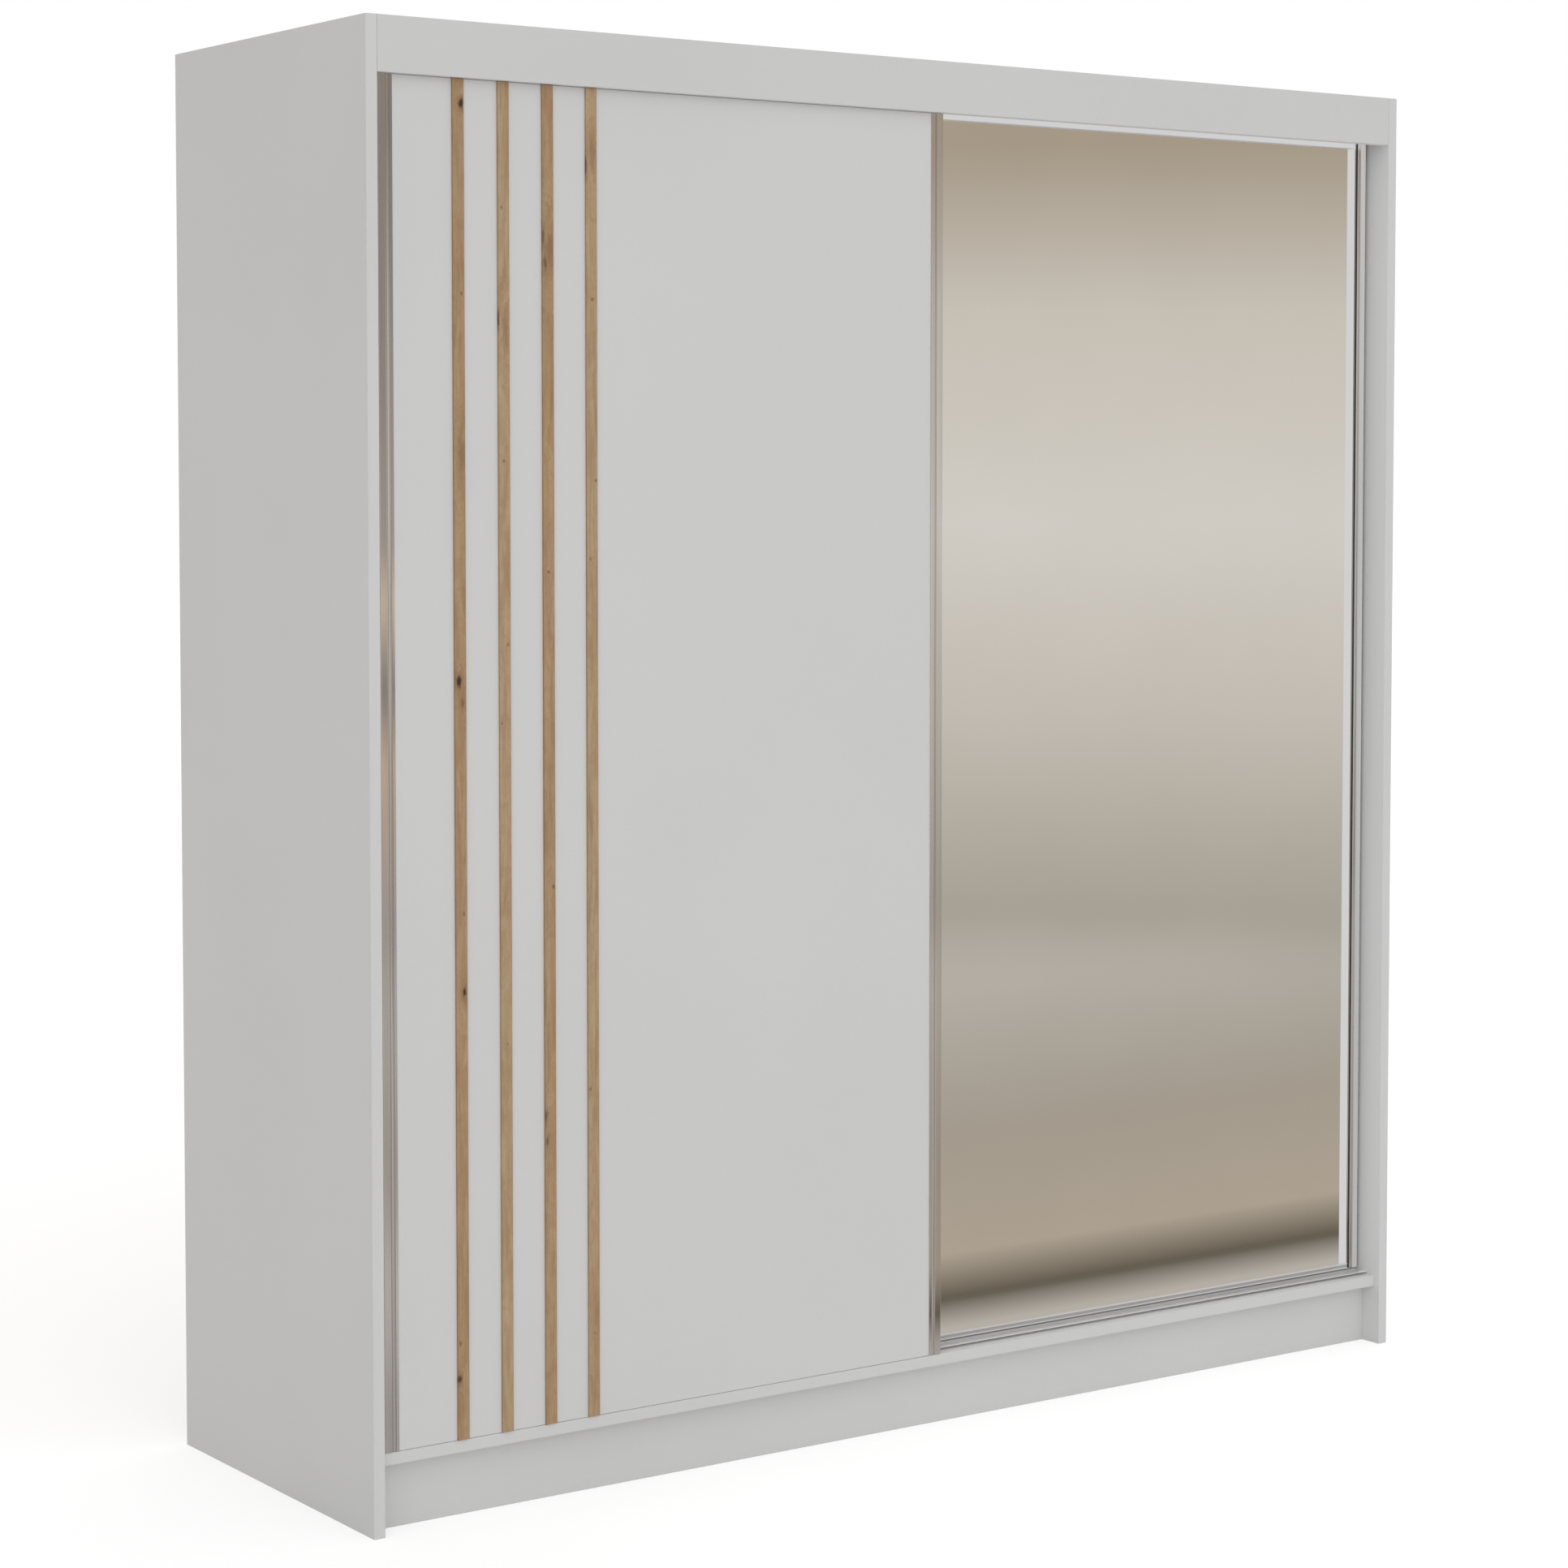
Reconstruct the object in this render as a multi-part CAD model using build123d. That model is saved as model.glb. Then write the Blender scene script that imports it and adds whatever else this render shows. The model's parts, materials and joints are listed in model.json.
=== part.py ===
from build123d import *
import os

# Sliding door wardrobe: a white board carcass with a panelled front door and a mirror rear door.
# Millimetres, +Z up, +X to the right, -Y towards the user. The origin is on the floor, under the
# middle of the carcass. Depths are measured back from the front plane of the carcass.

# Carcass
WIDTH = 2000.0
DEPTH = 610.0
HEIGHT = 2160.0
BOARD = 18.0
EDGE_ROUND = 0.5
PLINTH_HEIGHT = 100.0
PLINTH_SETBACK = 41.0
FLOOR_SETBACK = 12.0
FASCIA_HEIGHT = 80.0
FASCIA_GAP = 0.3
INNER_SETBACK = 106.0
SHELF_SETBACK = 110.0
REBATE_WIDTH = 10.0
REBATE_DEPTH = 4.0
BACK_SHEET = 3.0
SHEET_SIDE_GAP = 0.5
SHEET_JOINT_HALF = 0.3
SHEET_TOP_GAP = 1.0
COVER_STRIP_WIDTH = 28.0

# Inside
UPPER_SHELF_BOTTOM = 1770.0
ADJUSTABLE_SHELVES = 4
SHELF_PLAY = 1.0
PIN_RADIUS = 2.5
PIN_LENGTH = 8.0
PIN_HEAD_LENGTH = 10.0
PIN_PITCH = 32.0
PIN_HOLES_EACH_WAY = 2
RAIL_HEIGHT = 1700.0
RAIL_DEPTH = 355.0
RAIL_SIZE = (15.0, 30.0)
RAIL_WALL = 1.2
SOCKET_WALL = 2.5
SOCKET_LENGTH = 14.0
SOCKET_PLATE = (72.0, 25.0)
SOCKET_SCREW_OFFSET = 27.0

# Doors
DOOR_WIDTH = 1002.0
DOOR_SIDE_GAP = 6.0
DOOR_TOP_GAP = 0.3
DOOR_BOTTOM_GAP = 0.5
REAR_DOOR_RISE = 9.4
FRONT_DOOR_FACE = 12.0
DOOR_PITCH = 38.0
INSERT = 16.0
INSERT_INSET = 0.1
MIRROR_GLASS = 4.0
STRIP_WIDTH = 18.8
STRIP_PROUD = 3.0
STRIP_PITCH = 74.4
STRIP_COUNT = 4
FIRST_STRIP = 128.8

# Handle profile, measured in from the outer edge of the door and back from its own front
LIP = 1.2
WALL = 1.4
HANDLE_BODY = 19.1
FRONT_LIP_END = 23.5
REAR_LIP_END = 31.0
GROOVE_CENTRE = 15.85
GROOVE_RADIUS = 3.25
HANDLE_DEPTH = INSERT + 2 * LIP
GROOVE_ROUND = 1.3
OUTER_ROUND = 1.1
LIP_ROUND = 0.5
BRUSH_SLOT = (3.0, 11.2, 14.2)
BRUSH_LENGTH = 5.0
BRUSH_THICKNESS = 2.2

# Bottom profile of the mirror door
BOTTOM_PROFILE_FRONT = 9.2
BOTTOM_PROFILE_REAR = 12.0
BOTTOM_PROFILE_BEAD = 2.6
BOTTOM_PROFILE_RELIEF = 0.7

# Running gear
TRACK_FRONT = 30.0
TRACK_NOSE_END = 38.0
TRACK_MIDDLE = 56.5
TRACK_MIDDLE_HEIGHT = 8.0
TRACK_REAR = 94.6
TRACK_HEIGHT = 5.0
TRACK_PLATE = 1.2
TRACK_WALL = 1.5
RAIL_BEAD_HEIGHT = 2.2
RAIL_BEAD_WIDTH = 2.0
TRACK_END_GAP = 0.4
WHEEL_DEPTH = 42.0
WHEEL_RADIUS = 13.0
WHEEL_WIDTH = 5.6
WHEEL_GROOVE_FLOOR = 10.8
WHEEL_GAP = 0.3
WHEEL_HUB = 6.0
WHEEL_RIM = 9.6
WHEEL_RECESS = 1.0
WHEEL_GROOVE_HALF = (1.9, 1.2)
WHEEL_INSET = 60.0
AXLE_RADIUS = 2.5
AXLE_PLAY = 0.05
AXLE_HEAD = (4.0, 0.8)
STEEL = 1.5
CHEEK = 1.4
CHEEK_SPACE = 6.8
CHEEK_WIDTH = 24.0
CHEEK_BELOW_AXLE = 6.5
CHEEK_ROUND = 5.0
ROLLER_PLATE = (50.0, 44.0)
ROLLER_WEB_WIDTH = 28.0
ROLLER_WEB_ABOVE_WHEEL = 3.0
ROLLER_SCREWS = ((-17.0, 12.0), (17.0, 12.0), (0.0, 32.0))
GUIDE_SLOT = 11.0
GUIDE_BLOCK = (26.0, 10.2)
GUIDE_BLOCK_ROUND = 3.0
GUIDE_BLOCK_TOP_GAP = 6.0
GUIDE_RISE = 11.5
GUIDE_PLATE = (40.0, 40.0)
GUIDE_SHELF_WIDTH = 26.0
GUIDE_SCREWS = ((-12.0, -20.0), (12.0, -20.0))
TOP_TRACK_PLATE = (30.0, 92.0)
TOP_TRACK_DROP = 34.0
STOP_START = 33.0
STOP_SIZE = (20.0, 16.0)
TRACK_SCREW_X = [-900.0 + 300.0 * column for column in range(7)]
NOSE_ROUND = 0.6

# Fasteners
SCREW_HEAD = (3.6, 2.0)
SCREW_CROSS = (3.96, 0.8)
SCREW_SHANK = (1.75, 11.0)
SCREW_HOLE_RADIUS = 2.1
NAIL_HEAD = (1.6, 0.6)
NAIL_SHANK = (0.7, 12.0)
NAIL_PITCH = 190.0
NAIL_MARGIN = 55.0
NAIL_ROWS = 11
NAIL_COLUMNS = 5
CAM_RADIUS = 7.5
CAM_LENGTH = 12.5
CAM_REACH = 24.0
CAM_BOLT_RADIUS = 3.4
CAM_THREAD_RADIUS = 2.4
CAM_THREAD = 8.0
CAM_DEPTHS = (170.0, 540.0)
CAM_CROSS = (4.5, 0.7, 2.0)
FIT_GAP = 0.1
DOWEL_RADIUS = 4.0
DOWEL_LENGTH = 30.0
DOWEL_SHORT_END = 12.0
DOWEL_X = (-800.0, -400.0, 0.0, 400.0, 800.0)
LONG_SCREW_HEAD = (5.0, 4.0)
LONG_SCREW_SHANK = (3.0, 50.0)
LONG_SCREW_DEPTHS = (200.0, 500.0)
BRACKET_LEG = 40.0
BRACKET_SCREW_REACH = 26.0
BRACKET_WIDTH = 24.0
BRACKET_STEEL = 2.0
BRACKET_X = (-600.0, 600.0)
WALL_HOLE_RADIUS = 2.75
WALL_HOLE_DROP = 20.0

# Levels and edges that follow from the sizes above
INNER_SIDE = WIDTH / 2 - BOARD
PARTITION_SIDE = BOARD / 2
FLOOR_TOP = PLINTH_HEIGHT + BOARD
TOP_UNDERSIDE = HEIGHT - BOARD
BACK_PLANE = DEPTH - REBATE_DEPTH
SHEET_REAR = BACK_PLANE + BACK_SHEET
DOOR_BOTTOM = FLOOR_TOP + DOOR_BOTTOM_GAP
DOOR_HEIGHT = HEIGHT - FASCIA_HEIGHT - DOOR_TOP_GAP - DOOR_BOTTOM
TRACK_FLOOR = FLOOR_TOP + TRACK_PLATE
AXLE_HEIGHT = TRACK_FLOOR + RAIL_BEAD_HEIGHT + WHEEL_GROOVE_FLOOR + WHEEL_GAP
ROLLER_WEB = AXLE_HEIGHT + WHEEL_RADIUS + ROLLER_WEB_ABOVE_WHEEL
SHELF_PITCH = (UPPER_SHELF_BOTTOM + BOARD - FLOOR_TOP) / (ADJUSTABLE_SHELVES + 1)
LEFT_DOOR_EDGE = -INNER_SIDE + DOOR_SIDE_GAP
RIGHT_DOOR_EDGE = INNER_SIDE - DOOR_SIDE_GAP - DOOR_WIDTH
REAR_DOOR_FACE = FRONT_DOOR_FACE + DOOR_PITCH


def block(x0, x1, depth0, depth1, z0, z1, edge=0.0):
    """A box between two corners, with its depths measured back from the front plane."""
    centre = Pos((x0 + x1) / 2, (depth0 + depth1 - DEPTH) / 2, (z0 + z1) / 2)
    box = centre * Box(x1 - x0, depth1 - depth0, z1 - z0)
    return fillet(box.edges(), edge) if edge else box


def board(x0, x1, depth0, depth1, z0, z1):
    """A laminated board with slightly rounded edge banding."""
    return block(x0, x1, depth0, depth1, z0, z1, EDGE_ROUND)


def along_x(x0, x1, depth, z, radius):
    rod = Rot(0, 90, 0) * Cylinder(radius, abs(x1 - x0))
    return Pos((x0 + x1) / 2, depth - DEPTH / 2, z) * rod


def along_depth(x, depth0, depth1, z, radius):
    rod = Rot(90, 0, 0) * Cylinder(radius, abs(depth1 - depth0))
    return Pos(x, (depth0 + depth1 - DEPTH) / 2, z) * rod


def upright(x, depth, z0, z1, radius):
    return Pos(x, depth - DEPTH / 2, (z0 + z1) / 2) * Cylinder(radius, abs(z1 - z0))


def rectangle(a0, a1, b0, b1):
    """A flat rectangle between two corners of a section."""
    return Pos((a0 + a1) / 2, (b0 + b1) / 2) * Rectangle(a1 - a0, b1 - b0)


def extrude_in_x(section, x0, x1):
    """Extrude a section of (depth, height) along X."""
    return Pos(x0, -DEPTH / 2, 0) * extrude(Plane.YZ * section, x1 - x0)


def save(name, shapes):
    """Write one node: a single solid, or a group of separate solids."""
    solids = [solid for shape in shapes for solid in shape.solids()]
    shape = solids[0] if len(solids) == 1 else Compound(solids)
    export_step(shape, f"parts/{name}.step")


# ---------------------------------------------------------------- fasteners


def cam_joints():
    """Every cam joint: upright face, direction into the board, depth and board underside."""
    left_bay = ((-INNER_SIDE, 1), (-PARTITION_SIDE, -1))
    right_bay = ((PARTITION_SIDE, 1), (INNER_SIDE, -1))
    whole = ((-INNER_SIDE, 1), (INNER_SIDE, -1))
    rows = {
        "top_panel": (whole, TOP_UNDERSIDE),
        "bottom_panel": (whole, PLINTH_HEIGHT),
        "upper_shelf_left": (left_bay, UPPER_SHELF_BOTTOM),
        "upper_shelf_right": (right_bay, UPPER_SHELF_BOTTOM),
    }
    for name, (faces, underside) in rows.items():
        for face, inward in faces:
            for depth in CAM_DEPTHS:
                yield name, face, inward, depth, underside


def cam_lock(face, inward, depth, underside, gap=0.0):
    """The cam's drum, let into the underside of a board."""
    x = face + inward * CAM_REACH
    return upright(x, depth, underside, underside + CAM_LENGTH + gap, CAM_RADIUS + gap)


def cam_bolt(face, inward, depth, underside, gap=0.0):
    """The cam's bolt: its thread in the upright, its shank in the board."""
    z = underside + BOARD / 2
    thread = along_x(face - inward * (CAM_THREAD + gap), face, depth, z, CAM_THREAD_RADIUS + gap)
    shank = along_x(face, face + inward * (CAM_REACH + gap), depth, z, CAM_BOLT_RADIUS + gap)
    return thread + shank


def finished_cam(face, inward, depth, underside):
    """A cam drum with the bolt's seat and a cross slot in its face."""
    x = face + inward * CAM_REACH
    cam = cam_lock(face, inward, depth, underside)
    cam -= cam_bolt(face, inward, depth, underside, FIT_GAP)
    reach, half, sunk = CAM_CROSS
    for along, across in ((reach, half), (half, reach)):
        cam -= block(x - along, x + along, depth - across, depth + across,
                     underside, underside + sunk)
    return cam


def bored_for_cams(name, panel):
    """Cut the drum pockets and bolt holes of one board."""
    for owner, face, inward, depth, underside in cam_joints():
        if owner == name:
            panel -= cam_lock(face, inward, depth, underside, FIT_GAP)
            panel -= cam_bolt(face, inward, depth, underside, FIT_GAP)
    return panel


def bored_for_bolts(panel, side):
    """Cut the cam bolts' thread holes in the upright whose face is at a given X."""
    for _, face, inward, depth, underside in cam_joints():
        if face == side:
            panel -= cam_bolt(face, inward, depth, underside, FIT_GAP)
    return panel


def dowel_places():
    """Dowels as (kind, x): into the fascia, and down into each plinth."""
    return [(kind, x) for kind in ("fascia", "plinth_front", "plinth_rear") for x in DOWEL_X]


def dowel(kind, x, gap=0.0):
    """A wooden dowel between two boards."""
    radius = DOWEL_RADIUS + gap
    if kind == "fascia":
        start = BOARD - DOWEL_SHORT_END
        return along_depth(x, start - gap, start + DOWEL_LENGTH + gap, HEIGHT - BOARD / 2, radius)
    depth = PLINTH_SETBACK + BOARD / 2
    if kind == "plinth_rear":
        depth = BACK_PLANE - PLINTH_SETBACK + BOARD / 2
    top = PLINTH_HEIGHT + DOWEL_SHORT_END
    return upright(x, depth, top - DOWEL_LENGTH - gap, top + gap, radius)


def bored_for_dowels(panel, kinds):
    """Cut the dowel holes of the given kinds."""
    for kind, x in dowel_places():
        if kind in kinds:
            panel -= dowel(kind, x, FIT_GAP)
    return panel


def pan_head_screw():
    """A cross-head screw pointing down, with its head resting on z = 0."""
    radius, height = SCREW_HEAD
    head = Pos(0, 0, height / 2) * Cylinder(radius, height)
    head = fillet(head.edges().sort_by(Axis.Z)[-1], height * 0.7)
    long, narrow = SCREW_CROSS
    for size in ((long, narrow), (narrow, long)):
        head -= Pos(0, 0, height) * Box(size[0], size[1], height)
    shank_radius, length = SCREW_SHANK
    return head + Pos(0, 0, -length / 2) * Cylinder(shank_radius, length)


def place(shape, x, depth, z, turn=None):
    turned = turn * shape if turn else shape
    return Pos(x, depth - DEPTH / 2, z) * turned


# ---------------------------------------------------------------- carcass


def pin_levels():
    """Heights of the shelf pins: the undersides of the adjustable shelves, less a pin radius."""
    return [shelf_bottom(number) - PIN_RADIUS for number in range(1, ADJUSTABLE_SHELVES + 1)]


def shelf_bottom(number):
    return FLOOR_TOP + number * SHELF_PITCH - BOARD


def bored_for_pins(panel, side, inward):
    """Cut the rows of shelf pin holes, so that each shelf can move up or down."""
    for level in pin_levels():
        for step in range(-PIN_HOLES_EACH_WAY, PIN_HOLES_EACH_WAY + 1):
            for depth in CAM_DEPTHS:
                z = level + step * PIN_PITCH
                end = side - inward * (PIN_LENGTH + FIT_GAP)
                panel -= along_x(side, end, depth, z, PIN_RADIUS + FIT_GAP)
    return panel


def side_panel(direction):
    """A full-height side, rebated at the back for the thin sheet."""
    outer = direction * WIDTH / 2
    inner = direction * INNER_SIDE
    panel = board(min(outer, inner), max(outer, inner), 0, DEPTH, 0, HEIGHT)
    rebate_end = inner + direction * REBATE_WIDTH
    panel -= block(min(inner, rebate_end), max(inner, rebate_end), BACK_PLANE, DEPTH + 1,
                   PLINTH_HEIGHT, HEIGHT + 1)
    panel = bored_for_bolts(panel, inner)
    if direction < 0:
        panel = bored_for_pins(panel, inner, 1)
    return panel


def top_panel():
    panel = board(-INNER_SIDE, INNER_SIDE, BOARD, BACK_PLANE, TOP_UNDERSIDE, HEIGHT)
    return bored_for_dowels(bored_for_cams("top_panel", panel), ("fascia",))


def bottom_panel():
    panel = board(-INNER_SIDE, INNER_SIDE, FLOOR_SETBACK, BACK_PLANE, PLINTH_HEIGHT, FLOOR_TOP)
    panel = bored_for_cams("bottom_panel", panel)
    return bored_for_dowels(panel, ("plinth_front", "plinth_rear"))


def centre_partition():
    panel = board(-PARTITION_SIDE, PARTITION_SIDE, INNER_SETBACK, BACK_PLANE,
                  FLOOR_TOP, TOP_UNDERSIDE)
    panel = bored_for_bolts(panel, -PARTITION_SIDE)
    panel = bored_for_bolts(panel, PARTITION_SIDE)
    return bored_for_pins(panel, -PARTITION_SIDE, -1)


def fascia():
    side = INNER_SIDE - FASCIA_GAP
    panel = board(-side, side, 0, BOARD, HEIGHT - FASCIA_HEIGHT, HEIGHT)
    return bored_for_dowels(panel, ("fascia",))


def plinth(kind, front):
    panel = board(-INNER_SIDE, INNER_SIDE, front, front + BOARD, 0, PLINTH_HEIGHT)
    return bored_for_dowels(panel, (kind,))


def plinth_support(rear_plinth_front):
    return board(-PARTITION_SIDE, PARTITION_SIDE, PLINTH_SETBACK + BOARD, rear_plinth_front,
                 0, PLINTH_HEIGHT)


def back_sheet(direction):
    """One half of the thin back, from the side panel's rebate to the middle of the partition."""
    outer = direction * (INNER_SIDE + REBATE_WIDTH - SHEET_SIDE_GAP)
    inner = direction * SHEET_JOINT_HALF
    sheet = block(min(outer, inner), max(outer, inner), BACK_PLANE, SHEET_REAR,
                  PLINTH_HEIGHT, HEIGHT - SHEET_TOP_GAP)
    x = BRACKET_X[0] if direction < 0 else BRACKET_X[1]
    return sheet - along_depth(x, BACK_PLANE - 1, SHEET_REAR + 1,
                               TOP_UNDERSIDE - WALL_HOLE_DROP, WALL_HOLE_RADIUS)


def back_cover_strip():
    half = COVER_STRIP_WIDTH / 2
    return block(-half, half, SHEET_REAR, DEPTH, PLINTH_HEIGHT, HEIGHT - SHEET_TOP_GAP)


def back_nails():
    """Nails round each sheet: down both upright edges, and along the top and the bottom."""
    radius, height = NAIL_HEAD
    shank_radius, length = NAIL_SHANK
    places = []
    for row in range(NAIL_ROWS):
        z = PLINTH_HEIGHT + NAIL_MARGIN + row * NAIL_PITCH
        x = INNER_SIDE + REBATE_WIDTH / 2
        places += [(-x, z), (x, z)]
    for column in range(NAIL_COLUMNS):
        x = NAIL_MARGIN * 2 + column * NAIL_PITCH
        for z in (PLINTH_HEIGHT + BOARD / 2, HEIGHT - BOARD / 2):
            places += [(-x, z), (x, z)]
    nail = Pos(0, height / 2, 0) * Rot(90, 0, 0) * Cylinder(radius, height)
    nail += Pos(0, -length / 2, 0) * Rot(90, 0, 0) * Cylinder(shank_radius, length)
    return [place(nail, x, SHEET_REAR, z) for x, z in places]


def upper_shelf(name, x0, x1):
    panel = board(x0, x1, SHELF_SETBACK, BACK_PLANE, UPPER_SHELF_BOTTOM,
                  UPPER_SHELF_BOTTOM + BOARD)
    return bored_for_cams(name, panel)


def adjustable_shelf(number):
    bottom = shelf_bottom(number)
    return board(-INNER_SIDE + SHELF_PLAY, -PARTITION_SIDE - SHELF_PLAY, SHELF_SETBACK,
                 BACK_PLANE - SHELF_PLAY, bottom, bottom + BOARD)


def shelf_pins():
    """Four pins under each adjustable shelf, half in the upright and half under the shelf."""
    pins = []
    for level in pin_levels():
        for side, inward in ((-INNER_SIDE, 1), (-PARTITION_SIDE, -1)):
            for depth in CAM_DEPTHS:
                start = side - inward * PIN_LENGTH
                end = side + inward * PIN_HEAD_LENGTH
                pins.append(along_x(start, end, depth, level, PIN_RADIUS))
    return pins


def rail_section(margin):
    """The hanging rail's flat-sided oval, grown or shrunk by a margin."""
    thickness = RAIL_SIZE[0] + 2 * margin
    return SlotOverall(RAIL_SIZE[1] + 2 * margin, thickness, rotation=90)


def hanging_rail():
    start = PARTITION_SIDE + SOCKET_WALL
    tube = rail_section(0) - rail_section(-RAIL_WALL)
    placed = Pos(RAIL_DEPTH, RAIL_HEIGHT) * tube
    return extrude_in_x(placed, start, INNER_SIDE - SOCKET_WALL)


def rail_socket(face, inward):
    """A cup that holds one end of the rail, with a screw ear above and below."""
    back = face + inward * SOCKET_WALL
    mouth = face + inward * SOCKET_LENGTH
    collar = rail_section(FIT_GAP + SOCKET_WALL) - rail_section(FIT_GAP)
    cup = extrude_in_x(Pos(RAIL_DEPTH, RAIL_HEIGHT) * collar, min(back, mouth), max(back, mouth))
    plate = Pos(RAIL_DEPTH, RAIL_HEIGHT) * SlotOverall(*SOCKET_PLATE, rotation=90)
    cup += extrude_in_x(plate, min(face, back), max(face, back))
    for offset in (-SOCKET_SCREW_OFFSET, SOCKET_SCREW_OFFSET):
        cup -= along_x(face - inward, face + inward * (SOCKET_WALL + 1), RAIL_DEPTH,
                       RAIL_HEIGHT + offset, SCREW_HOLE_RADIUS)
    return cup


def wall_bracket(x):
    """An angle under the top panel: one leg up against it, one leg on the back sheet."""
    half = BRACKET_WIDTH / 2
    bracket = block(x - half, x + half, BACK_PLANE - BRACKET_LEG, BACK_PLANE,
                    TOP_UNDERSIDE - BRACKET_STEEL, TOP_UNDERSIDE)
    bracket += block(x - half, x + half, BACK_PLANE - BRACKET_STEEL, BACK_PLANE,
                     TOP_UNDERSIDE - BRACKET_LEG, TOP_UNDERSIDE)
    bracket -= along_depth(x, BACK_PLANE - 5, BACK_PLANE + 1, TOP_UNDERSIDE - WALL_HOLE_DROP,
                           WALL_HOLE_RADIUS)
    bracket -= upright(x, BACK_PLANE - BRACKET_SCREW_REACH, TOP_UNDERSIDE - 5, TOP_UNDERSIDE + 1,
                       SCREW_HOLE_RADIUS)
    return bracket


def carcass_screws():
    """The small screws of the tracks, the rail sockets and the wall brackets."""
    screw = pan_head_screw()
    head_down = Rot(180, 0, 0)
    placed = []
    for x in TRACK_SCREW_X:
        placed.append(place(screw, x, track_screw_depth(), TRACK_FLOOR))
        placed.append(place(screw, x, top_track_screw_depth(), TOP_UNDERSIDE - STEEL, head_down))
    for face, inward in ((PARTITION_SIDE, 1), (INNER_SIDE, -1)):
        for offset in (-SOCKET_SCREW_OFFSET, SOCKET_SCREW_OFFSET):
            placed.append(place(screw, face + inward * SOCKET_WALL, RAIL_DEPTH,
                                RAIL_HEIGHT + offset, Rot(0, 90 * inward, 0)))
    for x in BRACKET_X:
        placed.append(place(screw, x, BACK_PLANE - BRACKET_SCREW_REACH,
                            TOP_UNDERSIDE - BRACKET_STEEL, head_down))
    return placed


def partition_screws():
    """Long flush-headed screws through the top and bottom panels into the partition."""
    head_radius, head_height = LONG_SCREW_HEAD
    radius, length = LONG_SCREW_SHANK
    screws = []
    for depth in LONG_SCREW_DEPTHS:
        screws.append(upright(0, depth, HEIGHT - head_height, HEIGHT, head_radius)
                      + upright(0, depth, HEIGHT - length, HEIGHT - head_height, radius))
        screws.append(upright(0, depth, PLINTH_HEIGHT, PLINTH_HEIGHT + head_height, head_radius)
                      + upright(0, depth, PLINTH_HEIGHT + head_height, PLINTH_HEIGHT + length,
                                radius))
    return screws


# ---------------------------------------------------------------- tracks


def track_screw_depth():
    return (TRACK_MIDDLE + TRACK_WALL + WHEEL_DEPTH + DOOR_PITCH - CHEEK_SPACE) / 2


def top_track_screw_depth():
    return WHEEL_DEPTH + DOOR_PITCH / 2


def bottom_track():
    """Double track: an overhanging nose, two running beads and walls, the middle one higher."""
    low, floor, high = FLOOR_TOP, TRACK_FLOOR, FLOOR_TOP + TRACK_HEIGHT
    section = rectangle(TRACK_NOSE_END - TRACK_PLATE, TRACK_REAR + TRACK_WALL, low, floor)
    section += rectangle(TRACK_NOSE_END - TRACK_PLATE, TRACK_NOSE_END, low, high)
    section += rectangle(TRACK_FRONT, TRACK_NOSE_END, high - TRACK_PLATE, high)
    for wall, top in ((TRACK_MIDDLE, low + TRACK_MIDDLE_HEIGHT), (TRACK_REAR, high)):
        section += rectangle(wall, wall + TRACK_WALL, floor, top)
    half = RAIL_BEAD_WIDTH / 2
    for bead in (WHEEL_DEPTH, WHEEL_DEPTH + DOOR_PITCH):
        top = floor + RAIL_BEAD_HEIGHT - half
        section += rectangle(bead - half, bead + half, floor, top) + Pos(bead, top) * Circle(half)
    nose = section.vertices().sort_by_distance((TRACK_FRONT, high))[0]
    section = fillet(nose, NOSE_ROUND)
    end = INNER_SIDE - TRACK_END_GAP
    track = extrude_in_x(section, -end, end)
    for x in TRACK_SCREW_X:
        track -= upright(x, track_screw_depth(), low - 1, floor + 1, SCREW_HOLE_RADIUS)
    return track


def top_track():
    """Upper track: a plate under the top panel and two pairs of fins that hold the guides."""
    front, rear = TOP_TRACK_PLATE
    section = rectangle(front, rear, TOP_UNDERSIDE - STEEL, TOP_UNDERSIDE)
    for centre in (WHEEL_DEPTH, WHEEL_DEPTH + DOOR_PITCH):
        for fin in (centre - GUIDE_SLOT / 2 - STEEL, centre + GUIDE_SLOT / 2):
            section += rectangle(fin, fin + STEEL, TOP_UNDERSIDE - TOP_TRACK_DROP,
                                 TOP_UNDERSIDE - STEEL)
    end = INNER_SIDE - TRACK_END_GAP
    track = extrude_in_x(section, -end, end)
    for x in TRACK_SCREW_X:
        track -= upright(x, top_track_screw_depth(), TOP_UNDERSIDE - STEEL - 1, TOP_UNDERSIDE + 1,
                         SCREW_HOLE_RADIUS)
    return track


def track_stop(direction, depth):
    """A buffer between two fins of the top track that stops a guide at the end of its travel."""
    length, height = STOP_SIZE
    ends = (direction * (INNER_SIDE - STOP_START), direction * (INNER_SIDE - STOP_START - length))
    half = GUIDE_SLOT / 2 - FIT_GAP
    roof = TOP_UNDERSIDE - STEEL
    return block(min(ends), max(ends), depth - half, depth + half, roof - height, roof)


# ---------------------------------------------------------------- doors


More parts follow.
